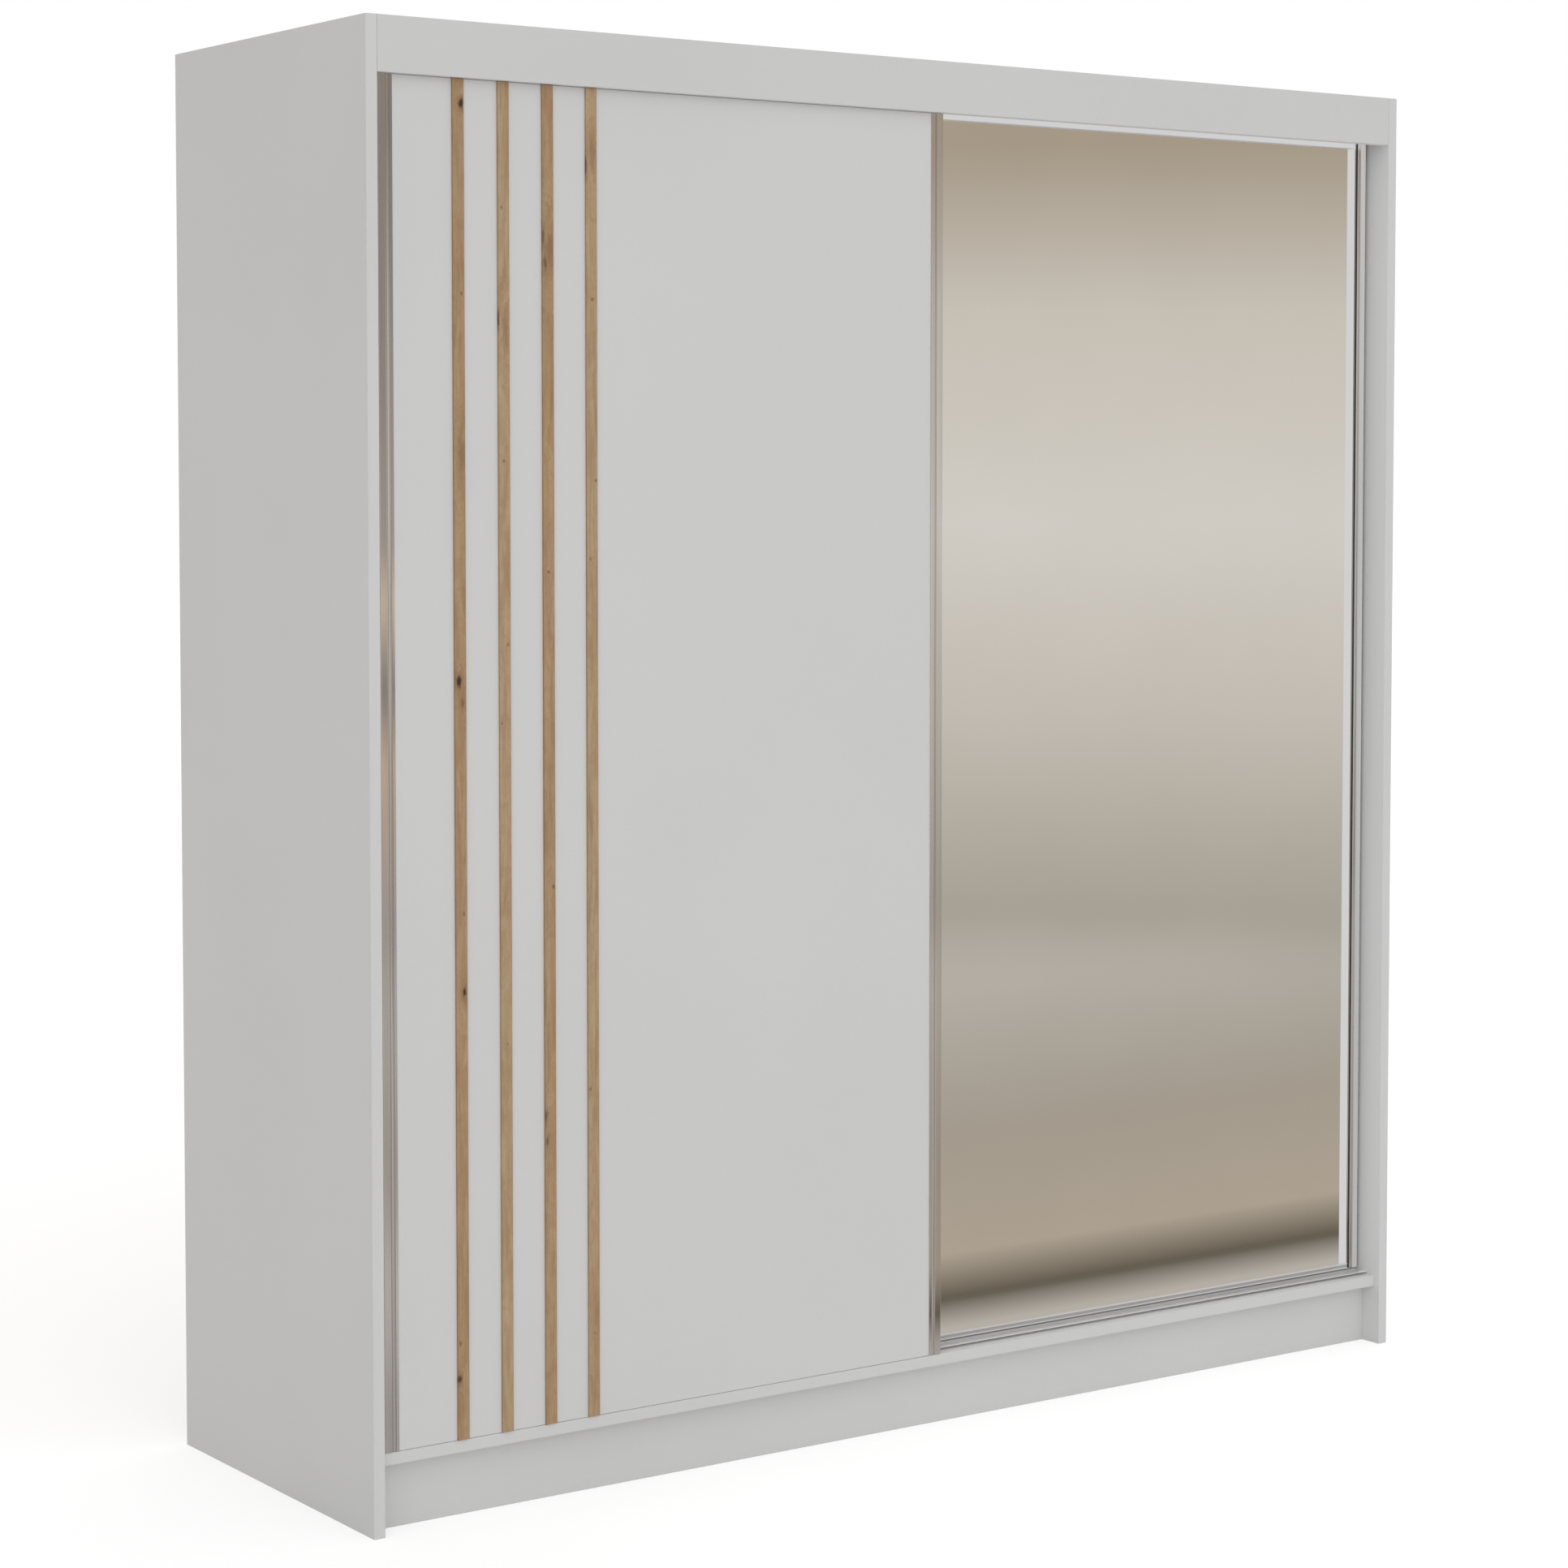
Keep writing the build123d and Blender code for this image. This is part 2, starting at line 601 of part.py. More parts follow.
def handle_section():
    """The handle profile's section: in from the door's outer edge, back from its front."""
    section = rectangle(0, HANDLE_BODY, 0, HANDLE_DEPTH)
    section += rectangle(0, FRONT_LIP_END, 0, LIP)
    section += rectangle(0, REAR_LIP_END, HANDLE_DEPTH - LIP, HANDLE_DEPTH)
    section -= Pos(GROOVE_CENTRE, 0) * Circle(GROOVE_RADIUS)
    slot_depth, slot_front, slot_rear = BRUSH_SLOT
    section -= rectangle(0, slot_depth, slot_front, slot_rear)
    web = slot_front - 0.2
    groove_start = GROOVE_CENTRE - GROOVE_RADIUS
    section -= rectangle(WALL, groove_start - WALL, WALL, web - WALL)
    section -= rectangle(groove_start, HANDLE_BODY - WALL, GROOVE_RADIUS + WALL, web - WALL)
    section -= rectangle(slot_depth + WALL, HANDLE_BODY - WALL, web, HANDLE_DEPTH - WALL)
    rounds = (((0, 0), OUTER_ROUND), ((0, HANDLE_DEPTH), OUTER_ROUND),
              ((groove_start, 0), GROOVE_ROUND), ((FRONT_LIP_END, 0), LIP_ROUND))
    for corner, radius in rounds:
        section = fillet(section.vertices().sort_by_distance(corner)[0], radius)
    return section


def handle(edge, inward, face, bottom):
    """A full-height handle profile on the door edge at X = edge."""
    bar = extrude(handle_section(), DOOR_HEIGHT)
    if inward < 0:
        bar = mirror(bar, Plane.YZ)
    return place(bar, edge, face - LIP, bottom)


def brush(edge, inward, face, bottom):
    """A pile seal in the handle's side slot: a base strip and the pile that stands out of it."""
    slot_depth, slot_front, slot_rear = BRUSH_SLOT
    front = face - LIP
    middle = front + (slot_front + slot_rear) / 2
    limits = (edge + inward * (slot_depth - FIT_GAP), edge - inward * BRUSH_LENGTH)
    half = BRUSH_THICKNESS / 2
    return block(min(limits), max(limits), middle - half, middle + half, bottom,
                 bottom + DOOR_HEIGHT)


def insert_panel(edge, face, thickness, bottom, top):
    """The board or glass between the two handle profiles."""
    return block(edge + HANDLE_BODY, edge + DOOR_WIDTH - HANDLE_BODY, face, face + thickness,
                 bottom, top)


def front_door_panel():
    panel = insert_panel(LEFT_DOOR_EDGE, FRONT_DOOR_FACE, INSERT, DOOR_BOTTOM + INSERT_INSET,
                         DOOR_BOTTOM + DOOR_HEIGHT - INSERT_INSET)
    return fillet(panel.edges().filter_by(Axis.X), EDGE_ROUND)


def oak_strip(number):
    """A full-height strip glued on the front door's panel."""
    start = LEFT_DOOR_EDGE + FIRST_STRIP - STRIP_WIDTH / 2 + (number - 1) * STRIP_PITCH
    strip = block(start, start + STRIP_WIDTH, FRONT_DOOR_FACE - STRIP_PROUD, FRONT_DOOR_FACE,
                  DOOR_BOTTOM + INSERT_INSET, DOOR_BOTTOM + DOOR_HEIGHT - INSERT_INSET)
    front_edges = strip.edges().filter_by(Axis.Z).sort_by(Axis.Y)[:2]
    return fillet(front_edges, EDGE_ROUND)


def bottom_profile(edge, face, bottom):
    """A channel under the mirror and its board, with a beaded front."""
    front, rear = face - LIP, face + INSERT + LIP
    low = bottom + INSERT_INSET
    section = rectangle(front, rear, low, low + LIP)
    section += rectangle(front, front + LIP, low, low + BOTTOM_PROFILE_FRONT)
    section += rectangle(rear - LIP, rear, low, low + BOTTOM_PROFILE_REAR)
    section -= rectangle(front, front + BOTTOM_PROFILE_RELIEF, low + BOTTOM_PROFILE_BEAD,
                         low + BOTTOM_PROFILE_FRONT - BOTTOM_PROFILE_BEAD)
    profile = extrude_in_x(section, edge + HANDLE_BODY, edge + DOOR_WIDTH - HANDLE_BODY)
    for start, inward in ((edge, 1), (edge + DOOR_WIDTH, -1)):
        for reach, lip_front in ((FRONT_LIP_END, front), (REAR_LIP_END, rear - LIP)):
            notch = (start, start + inward * reach)
            profile -= block(min(notch), max(notch), lip_front, lip_front + LIP,
                             low - 1, low + BOTTOM_PROFILE_REAR + 1)
    return profile


def running_depth(insert_rear):
    """The depth of a door's wheels and guides, from the rear face of its insert."""
    return insert_rear + WHEEL_DEPTH - FRONT_DOOR_FACE - INSERT


def roller_bracket(x, insert_rear):
    """A folded steel bracket: a plate on the door's back and two cheeks for the wheel."""
    middle = running_depth(insert_rear)
    front_cheek = middle - CHEEK_SPACE / 2
    rear_cheek = middle + CHEEK_SPACE / 2
    width, height = ROLLER_PLATE
    bracket = block(x - width / 2, x + width / 2, insert_rear, insert_rear + STEEL,
                    ROLLER_WEB, ROLLER_WEB + height)
    bracket += block(x - ROLLER_WEB_WIDTH / 2, x + ROLLER_WEB_WIDTH / 2, insert_rear,
                     rear_cheek + CHEEK, ROLLER_WEB, ROLLER_WEB + STEEL)
    for start in (front_cheek - CHEEK, rear_cheek):
        cheek = block(x - CHEEK_WIDTH / 2, x + CHEEK_WIDTH / 2, start, start + CHEEK,
                      AXLE_HEIGHT - CHEEK_BELOW_AXLE, ROLLER_WEB)
        bracket += fillet(cheek.edges().filter_by(Axis.Y).sort_by(Axis.Z)[:2], CHEEK_ROUND)
    bracket -= along_depth(x, front_cheek - 2 * CHEEK, rear_cheek + 2 * CHEEK, AXLE_HEIGHT,
                           AXLE_RADIUS + AXLE_PLAY)
    return bored_for_screws(bracket, x, insert_rear, ROLLER_SCREWS, ROLLER_WEB)


def bored_for_screws(bracket, x, insert_rear, offsets, level):
    """Cut a door bracket's screw holes, at offsets from x and from a level."""
    for across, up in offsets:
        bracket -= along_depth(x + across, insert_rear - STEEL, insert_rear + 2 * STEEL,
                               level + up, SCREW_HOLE_RADIUS)
    return bracket


def axle(x, insert_rear):
    """The wheel's axle, riveted over at both ends."""
    middle = running_depth(insert_rear)
    half = CHEEK_SPACE / 2 + CHEEK
    radius, thickness = AXLE_HEAD
    pin = along_depth(x, middle - half, middle + half, AXLE_HEIGHT, AXLE_RADIUS)
    for sign in (-1, 1):
        start = middle + sign * half
        pin += along_depth(x, start, start + sign * thickness, AXLE_HEIGHT, radius)
    return pin


def wheel(x, insert_rear):
    """A grooved nylon wheel that runs on the track's rounded bead."""
    half = WHEEL_WIDTH / 2
    web = half - WHEEL_RECESS
    bore = AXLE_RADIUS + AXLE_PLAY
    groove_mouth, groove_floor = WHEEL_GROOVE_HALF
    side = [(bore, half), (WHEEL_HUB, half), (WHEEL_HUB, web), (WHEEL_RIM, web),
            (WHEEL_RIM, half), (WHEEL_RADIUS, half), (WHEEL_RADIUS, groove_mouth),
            (WHEEL_GROOVE_FLOOR, groove_floor)]
    outline = side + [(radius, -height) for radius, height in reversed(side)]
    section = make_face(Polyline(*outline, close=True))
    turned = revolve(Plane.XZ * section, Axis.Z)
    return place(turned, x, running_depth(insert_rear), AXLE_HEIGHT, Rot(90, 0, 0))


def guide_bracket(x, insert_rear, top):
    """A steel angle from the door's back, up and over into the top track."""
    shelf = top + GUIDE_RISE
    rear = running_depth(insert_rear) + GUIDE_BLOCK[1] / 2
    width, drop = GUIDE_PLATE
    bracket = block(x - width / 2, x + width / 2, insert_rear, insert_rear + STEEL,
                    top - drop, shelf)
    bracket += block(x - GUIDE_SHELF_WIDTH / 2, x + GUIDE_SHELF_WIDTH / 2, insert_rear, rear,
                     shelf - STEEL, shelf)
    return bored_for_screws(bracket, x, insert_rear, GUIDE_SCREWS, top)


def guide_block(x, insert_rear, top):
    """A nylon block with rounded ends that slides between two fins of the top track."""
    length, width = GUIDE_BLOCK
    middle = running_depth(insert_rear)
    shape = block(x - length / 2, x + length / 2, middle - width / 2, middle + width / 2,
                  top + GUIDE_RISE, TOP_UNDERSIDE - GUIDE_BLOCK_TOP_GAP)
    return fillet(shape.edges().filter_by(Axis.Z), GUIDE_BLOCK_ROUND)


def door_screws(places, insert_rear, top):
    """The screws of one door's roller brackets and top guides."""
    screw = pan_head_screw()
    placed = []
    for x in places:
        for offsets, level in ((ROLLER_SCREWS, ROLLER_WEB), (GUIDE_SCREWS, top)):
            for across, up in offsets:
                placed.append(place(screw, x + across, insert_rear + STEEL, level + up,
                                    Rot(-90, 0, 0)))
    return placed


def save_door(name, edge, face, bottom, outer_is_left):
    """Write what both doors share: handles, brush, brackets, axles, guides, screws and wheels."""
    left, right = edge, edge + DOOR_WIDTH
    insert_rear = face + INSERT
    top = bottom + DOOR_HEIGHT
    places = (left + WHEEL_INSET, right - WHEEL_INSET)
    ends = ((left, 1), (right, -1)) if outer_is_left else ((right, -1), (left, 1))
    for part, (x, inward) in zip(("outer", "inner"), ends):
        save(f"{name}_handle_{part}", [handle(x, inward, face, bottom)])
    save(f"{name}_brush", [brush(*ends[0], face, bottom)])
    save(f"{name}_roller_brackets", [roller_bracket(x, insert_rear) for x in places])
    save(f"{name}_axles", [axle(x, insert_rear) for x in places])
    save(f"{name}_guide_brackets", [guide_bracket(x, insert_rear, top) for x in places])
    save(f"{name}_guide_blocks", [guide_block(x, insert_rear, top) for x in places])
    save(f"{name}_screws", door_screws(places, insert_rear, top))
    for number, x in enumerate(places, 1):
        save(f"{name}_wheel_{number}", [wheel(x, insert_rear)])


def save_carcass():
    rear_plinth_front = BACK_PLANE - PLINTH_SETBACK
    save("side_panel_left", [side_panel(-1)])
    save("side_panel_right", [side_panel(1)])
    save("top_panel", [top_panel()])
    save("bottom_panel", [bottom_panel()])
    save("centre_partition", [centre_partition()])
    save("fascia", [fascia()])
    save("plinth_front", [plinth("plinth_front", PLINTH_SETBACK)])
    save("plinth_rear", [plinth("plinth_rear", rear_plinth_front)])
    save("plinth_support", [plinth_support(rear_plinth_front)])
    save("back_sheet_left", [back_sheet(-1)])
    save("back_sheet_right", [back_sheet(1)])
    save("back_cover_strip", [back_cover_strip()])
    save("back_nails", back_nails())
    save("upper_shelf_left", [upper_shelf("upper_shelf_left", -INNER_SIDE, -PARTITION_SIDE)])
    save("upper_shelf_right", [upper_shelf("upper_shelf_right", PARTITION_SIDE, INNER_SIDE)])
    for number in range(1, ADJUSTABLE_SHELVES + 1):
        save(f"adjustable_shelf_{number}", [adjustable_shelf(number)])
    save("shelf_pins", shelf_pins())
    save("hanging_rail", [hanging_rail()])
    save("rail_sockets", [rail_socket(PARTITION_SIDE, 1), rail_socket(INNER_SIDE, -1)])
    save("wall_brackets", [wall_bracket(x) for x in BRACKET_X])
    save("carcass_screws", carcass_screws())
    save("partition_screws", partition_screws())
    save("cam_locks", [finished_cam(*joint[1:]) for joint in cam_joints()])
    save("cam_bolts", [cam_bolt(*joint[1:]) for joint in cam_joints()])
    save("wooden_dowels", [dowel(kind, x) for kind, x in dowel_places()])
    save("bottom_track", [bottom_track()])
    save("top_track", [top_track()])
    lanes = (WHEEL_DEPTH, WHEEL_DEPTH + DOOR_PITCH)
    save("track_stops", [track_stop(direction, depth) for direction in (-1, 1) for depth in lanes])


def save_doors():
    save("left_door_panel", [front_door_panel()])
    for number in range(1, STRIP_COUNT + 1):
        save(f"left_door_oak_strip_{number}", [oak_strip(number)])
    save_door("left_door", LEFT_DOOR_EDGE, FRONT_DOOR_FACE, DOOR_BOTTOM, True)

    bottom = DOOR_BOTTOM + REAR_DOOR_RISE
    glass_ends = (bottom + INSERT_INSET + LIP, bottom + DOOR_HEIGHT - INSERT_INSET)
    save("right_door_mirror",
         [insert_panel(RIGHT_DOOR_EDGE, REAR_DOOR_FACE, MIRROR_GLASS, *glass_ends)])
    save("right_door_board",
         [insert_panel(RIGHT_DOOR_EDGE, REAR_DOOR_FACE + MIRROR_GLASS, INSERT - MIRROR_GLASS,
                       *glass_ends)])
    save("right_door_bottom_profile", [bottom_profile(RIGHT_DOOR_EDGE, REAR_DOOR_FACE, bottom)])
    save_door("right_door", RIGHT_DOOR_EDGE, REAR_DOOR_FACE, bottom, False)


os.makedirs("parts", exist_ok=True)
save_carcass()
save_doors()
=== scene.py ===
import json
import math
import random
import bpy
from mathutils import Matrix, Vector


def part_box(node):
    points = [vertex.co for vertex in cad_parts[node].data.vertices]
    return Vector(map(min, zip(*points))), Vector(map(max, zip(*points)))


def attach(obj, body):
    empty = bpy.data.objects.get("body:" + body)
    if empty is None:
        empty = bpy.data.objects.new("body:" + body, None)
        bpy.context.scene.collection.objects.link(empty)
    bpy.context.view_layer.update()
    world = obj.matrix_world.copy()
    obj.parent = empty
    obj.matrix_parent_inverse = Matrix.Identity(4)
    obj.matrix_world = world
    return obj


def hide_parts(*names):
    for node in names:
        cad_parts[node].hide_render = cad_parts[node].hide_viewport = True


# Looks for a sliding door wardrobe. Lengths are metres, in the frame of the CAD model: +X to the
# right along the doors, -Y towards the user, +Z up from the floor.

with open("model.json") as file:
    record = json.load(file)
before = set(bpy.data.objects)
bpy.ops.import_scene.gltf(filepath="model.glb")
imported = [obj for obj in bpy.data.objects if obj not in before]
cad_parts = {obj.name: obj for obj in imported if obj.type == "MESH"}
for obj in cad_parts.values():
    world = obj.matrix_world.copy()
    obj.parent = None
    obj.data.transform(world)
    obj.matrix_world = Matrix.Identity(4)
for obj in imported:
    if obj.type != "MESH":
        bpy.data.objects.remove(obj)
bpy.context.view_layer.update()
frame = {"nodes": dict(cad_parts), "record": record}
NODES = frame["nodes"]
DOORS = ("left_door", "right_door")

# Camera
CAMERA_PLACE = (-3.3914, -4.7218, 1.5221)
CAMERA_YAW = 35.106
CAMERA_PITCH = 2.902
CAMERA_LENS = 81.516
SENSOR = 36.0
CAMERA_SHIFT = -0.085

# Stage
STAGE_RADIUS = 40.0
FLOOR_DROP = 0.001
FLOOR_TONE = 0.80
FLOOR_GLOW = 0.47
BOUNCE_TONE = 0.80
SKY_LEVEL = 0.71
SKY_FRONT_GAIN = 0.27
SKY_LEFT_GAIN = 0.60
BACKLIT_LEVEL = 0.62
PAINTED_REFLECTION_LEVEL = 0.70
CARD_GAP = 0.0003
DISC_TURNS = 96
DOME_RINGS = 24

# The warm room that only reflections show. A ramp's (place, colour) stops go up the wall, as
# shares of ROOM_TALLEST, or over the floor, away from the wardrobe, as shares of ROOM_RADIUS.
# Left of ROOM_BARE_EDGE the floor has one plain tone.
ROOM_RADIUS = 6.0
ROOM_CORNER = 0.9
ROOM_HEIGHT = 4.4
ROOM_START = 0.2
ROOM_TURNS = 72
ROOM_CORNER_STEPS = 8
ROOM_TALLEST = 3.0
ROOM_SKIRTING = 0.2
ROOM_DIM_TURN = (math.radians(-128), math.radians(-96))
ROOM_DIM = 0.72
ROOM_WALL = [(0.04, (0.42, 0.38, 0.32)), (0.25, (0.60, 0.55, 0.49)), (0.45, (0.70, 0.66, 0.61)),
             (0.68, (0.63, 0.58, 0.51)), (0.85, (0.42, 0.35, 0.27))]
# On the floor, the dark stop at 0.15 is a painted shadow band.
ROOM_FLOOR = [(0.12, (0.51, 0.47, 0.42)), (0.15, (0.13, 0.11, 0.08)), (0.20, (0.46, 0.39, 0.31)),
              (0.36, (0.41, 0.36, 0.30)), (0.66, (0.50, 0.46, 0.41))]
ROOM_BARE_FLOOR = (0.62, 0.565, 0.53, 1)
ROOM_BARE_EDGE = (-0.40, 0.50)

# The lamp-lit stretch of that wall lies about the line x + LAMP_SLOPE * y = LAMP_LINE.
LAMP_SLOPE = 0.54
LAMP_LINE = -1.13
LAMP_SPREAD = (0.16, 0.42)
LAMP_WALL = [(0.05, (0.44, 0.39, 0.36)), (0.20, (0.63, 0.48, 0.35)), (0.28, (0.27, 0.24, 0.22)),
             (0.37, (0.70, 0.57, 0.43)), (0.43, (0.42, 0.36, 0.31)), (0.85, (0.30, 0.26, 0.23))]

# Finishes
LAMINATE_TONE = 0.785
# The fascia's laminate is a little darker than the other boards': painted shade.
FASCIA_SHADE_SHARE = 0.97
BAND_THICKNESS = 0.0009
BAND_LINE = 0.00015
GLASS_SEAM = 0.0012
PAINT_SKIN = (0.0002, 0.0005)
OAK_LIGHT = (0.520, 0.365, 0.215, 1)
OAK_MIDDLE = (0.450, 0.298, 0.165, 1)
OAK_DARK = (0.360, 0.222, 0.114, 1)
OAK_BLOTCH = (0.395, 0.228, 0.108, 1)
OAK_PORE_AND_SHADE = (0.240, 0.140, 0.070, 1)
OAK_HALO = (0.270, 0.130, 0.055, 1)
OAK_KNOT = (0.050, 0.024, 0.015, 1)
OAK_SHADED_EDGE = 0.0011
OAK_WARM = (1.05, 1.02, 1.00, 1)
OAK_PALE = (1.125, 1.168, 1.21, 1)

# Knots of each oak strip: height, offset from the strip's middle, half width, half height, depth
KNOTS = {
    1: [(2.045, 0.0048, 0.0042, 0.0085, 0.95), (1.220, -0.0028, 0.0050, 0.0110, 0.95),
        (0.771, 0.0042, 0.0034, 0.0065, 0.90), (0.208, -0.0065, 0.0038, 0.0070, 0.80),
        (1.190, 0.0030, 0.0030, 0.0090, 0.35), (1.775, 0.0040, 0.0012, 0.0020, 0.45),
        (0.885, 0.0040, 0.0015, 0.0030, 0.50), (0.260, -0.0055, 0.0014, 0.0032, 0.50),
        (1.545, 0.0030, 0.0045, 0.0200, 0.16)],
    2: [(1.900, -0.0040, 0.0013, 0.0018, 0.60), (1.536, -0.0010, 0.0016, 0.0022, 0.60),
        (1.740, -0.0094, 0.0012, 0.0150, 1.00), (1.271, 0.0045, 0.0012, 0.0020, 0.50),
        (1.157, -0.0055, 0.0011, 0.0018, 0.45), (1.730, 0.0030, 0.0050, 0.0220, 0.14),
        (0.690, 0.0020, 0.0010, 0.0016, 0.40)],
    3: [(1.860, -0.0085, 0.0030, 0.0150, 0.42), (1.822, -0.0045, 0.0030, 0.0110, 0.48),
        (1.375, -0.0005, 0.0018, 0.0020, 0.50), (0.914, 0.0055, 0.0014, 0.0022, 0.55),
        (0.578, -0.0080, 0.0028, 0.0110, 0.45), (0.540, -0.0055, 0.0022, 0.0080, 0.45),
        (1.840, 0.0030, 0.0060, 0.0300, 0.15)],
    4: [(1.965, -0.0094, 0.0013, 0.0190, 1.00), (1.772, 0.0005, 0.0016, 0.0020, 0.60),
        (1.508, 0.0060, 0.0018, 0.0022, 0.60), (1.393, -0.0035, 0.0014, 0.0018, 0.40),
        (0.609, -0.0055, 0.0014, 0.0022, 0.50), (0.244, 0.0005, 0.0013, 0.0020, 0.50),
        (1.985, 0.0020, 0.0055, 0.0260, 0.16)],
}
KNOT_HALO = 2.3

# Brush seals: a base strip and two rows of tufts
PILE_SEEDS = {"left_door": 7, "right_door": 11}
PILE_BASE = 0.0012
TUFT_PITCH = 0.0021
TUFT_FIRST = 0.8
TUFT_ROW_SHIFT = 0.25
TUFT_HALF = 0.0005
TUFT_TAPER = 0.55
TUFT_STRAY = 0.0003
TUFT_SHORTFALL = 0.0007

# Black bead beside the mirror, on the handles' front lips (measured from a handle's outer edge)
LIP_REACH = (0.0192, 0.0236)
GASKET_RISE = 0.0007
GASKET_STEPS = 10

# Painted shade in the recesses of the bottom track and of the mirror door's bottom profile
SHADE_FADE = 0.0003
NOSE_START = 0.001
NOSE_DEPTH = 0.0072
NOSE_DROP = 0.0042
NOSE_FADE = 0.0004
NOSE_SHADE = 0.42
RIB_FACE = 0.0030
RIB_FADE = 0.0006
RIB_SHADE = 0.62
RELIEF = (0.0026, 0.0066)
RELIEF_SHADE = 0.38


# ---------------------------------------------------------------- material nodes


class Recipe:
    """A material being made: short calls that add the nodes its finish needs."""

    def __init__(self, name):
        self.material = bpy.data.materials.new(name)
        self.material.use_nodes = True
        self.tree = self.material.node_tree
        self.shader = self.tree.nodes["Principled BSDF"]
        self.point = self.add("ShaderNodeTexCoord", out="Object")

    def add(self, kind, *inputs, out=0, **settings):
        """Add a node, fill its inputs in order, and return one of its outputs."""
        node = self.tree.nodes.new(kind)
        for key, value in settings.items():
            setattr(node, key, value)
        for socket, value in zip(node.inputs, inputs):
            self.feed(socket, value)
        return node.outputs[out]

    def feed(self, socket, value):
        if isinstance(value, bpy.types.NodeSocket):
            self.tree.links.new(value, socket)
        elif value is not None:
            socket.default_value = value

    def set(self, **values):
        """Fill the shader's sockets by name, with underscores for spaces."""
        for key, value in values.items():
            self.feed(self.shader.inputs[key.replace("_", " ")], value)

    def maths(self, operation, *inputs):
        return self.add("ShaderNodeMath", *inputs, operation=operation)

    def vector(self, operation, *inputs, out="Vector"):
        return self.add("ShaderNodeVectorMath", *inputs, operation=operation, out=out)

    def part(self, vector, axis):
        return self.add("ShaderNodeSeparateXYZ", vector, out=axis)

    def noise(self, stretch, detail=2.0, roughness=0.5, distortion=0.0, point=None):
        """Noise whose features are 1/stretch long on each axis."""
        scaled = self.vector("MULTIPLY", point or self.point, stretch)
        socket = self.add("ShaderNodeTexNoise", scaled)
        inputs = socket.node.inputs
        inputs["Scale"].default_value = 1.0
        inputs["Detail"].default_value = detail
        inputs["Roughness"].default_value = roughness
        inputs["Distortion"].default_value = distortion
        return socket

    def remap(self, value, low, high, new_low, new_high, smooth=False):
        kind = "SMOOTHSTEP" if smooth else "LINEAR"
        return self.add("ShaderNodeMapRange", value, low, high, new_low, new_high,
                        interpolation_type=kind)

    def ramp(self, value, stops):
        """A colour ramp with (place, colour) stops."""
        socket = self.add("ShaderNodeValToRGB", value)
        elements = socket.node.color_ramp.elements
        while len(elements) < len(stops):
            elements.new(1.0)
        for element, (place, colour) in zip(elements, stops):
            element.position = place
            element.color = (*colour[:3], 1)
        return socket

    def mix(self, share, first, second, blend="MIX"):
        node = self.tree.nodes.new("ShaderNodeMix")
        node.data_type = "RGBA"
        node.blend_type = blend
        colour_inputs = [socket for socket in node.inputs if socket.type == "RGBA"]
        self.feed(node.inputs[0], share)
        self.feed(colour_inputs[0], first)
        self.feed(colour_inputs[1], second)
        return [socket for socket in node.outputs if socket.type == "RGBA"][0]

    def bump(self, height, distance, below=None):
        """Raise the surface by height times distance, on top of another bump."""
        node = self.tree.nodes.new("ShaderNodeBump")
        node.inputs["Distance"].default_value = distance
        self.feed(node.inputs["Height"], height)
        self.feed(node.inputs["Normal"], below)
        return node.outputs["Normal"]


def grey(level):
    return (level, level, level, 1)


def edge_distance(recipe, low, high):
    """The distance from a point on a board's face to that face's nearest edge."""
    past_low = recipe.vector("SUBTRACT", recipe.point, low)
    to_high = recipe.vector("SUBTRACT", high, recipe.point)
    nearest = recipe.vector("MINIMUM", past_low, to_high)
    x, y, z = (recipe.part(nearest, axis) for axis in "XYZ")
    smaller = recipe.maths("MINIMUM", x, y)
    larger = recipe.maths("MAXIMUM", x, y)
    return recipe.maths("MAXIMUM", smaller, recipe.maths("MINIMUM", larger, z))


def laminate(name, low, high, tone=LAMINATE_TONE):
    """White melamine on a board: a faint pearl texture and the line of its edge band."""
    recipe = Recipe(name)
    cloud = recipe.noise((2.3, 2.3, 2.3), detail=3)
    speck = recipe.noise((650, 650, 650), detail=1)
    base = recipe.ramp(cloud, [(0.3, grey(tone * 0.985)), (0.7, grey(tone * 1.012))])
    base = recipe.mix(recipe.remap(speck, 0.35, 0.75, 0.0, 0.10), base, grey(tone * 0.86))
    edge = edge_distance(recipe, low, high)
    offset = recipe.maths("ABSOLUTE", recipe.maths("SUBTRACT", edge, BAND_THICKNESS))
    line = recipe.remap(offset, 0.0, BAND_LINE, 0.25, 0.0)
    base = recipe.mix(line, base, grey(tone * 0.55))
    peel = recipe.noise((150, 150, 150), detail=2)
    pearl = recipe.noise((1500, 1500, 1500), detail=2)
    normal = recipe.bump(pearl, 0.00003, recipe.bump(peel, 0.00004))
    rough = recipe.remap(recipe.noise((28, 28, 28), detail=3), 0.3, 0.7, 0.40, 0.48)
    recipe.set(Base_Color=base, Roughness=rough, Normal=normal, Specular_IOR_Level=0.4)
    return recipe.material


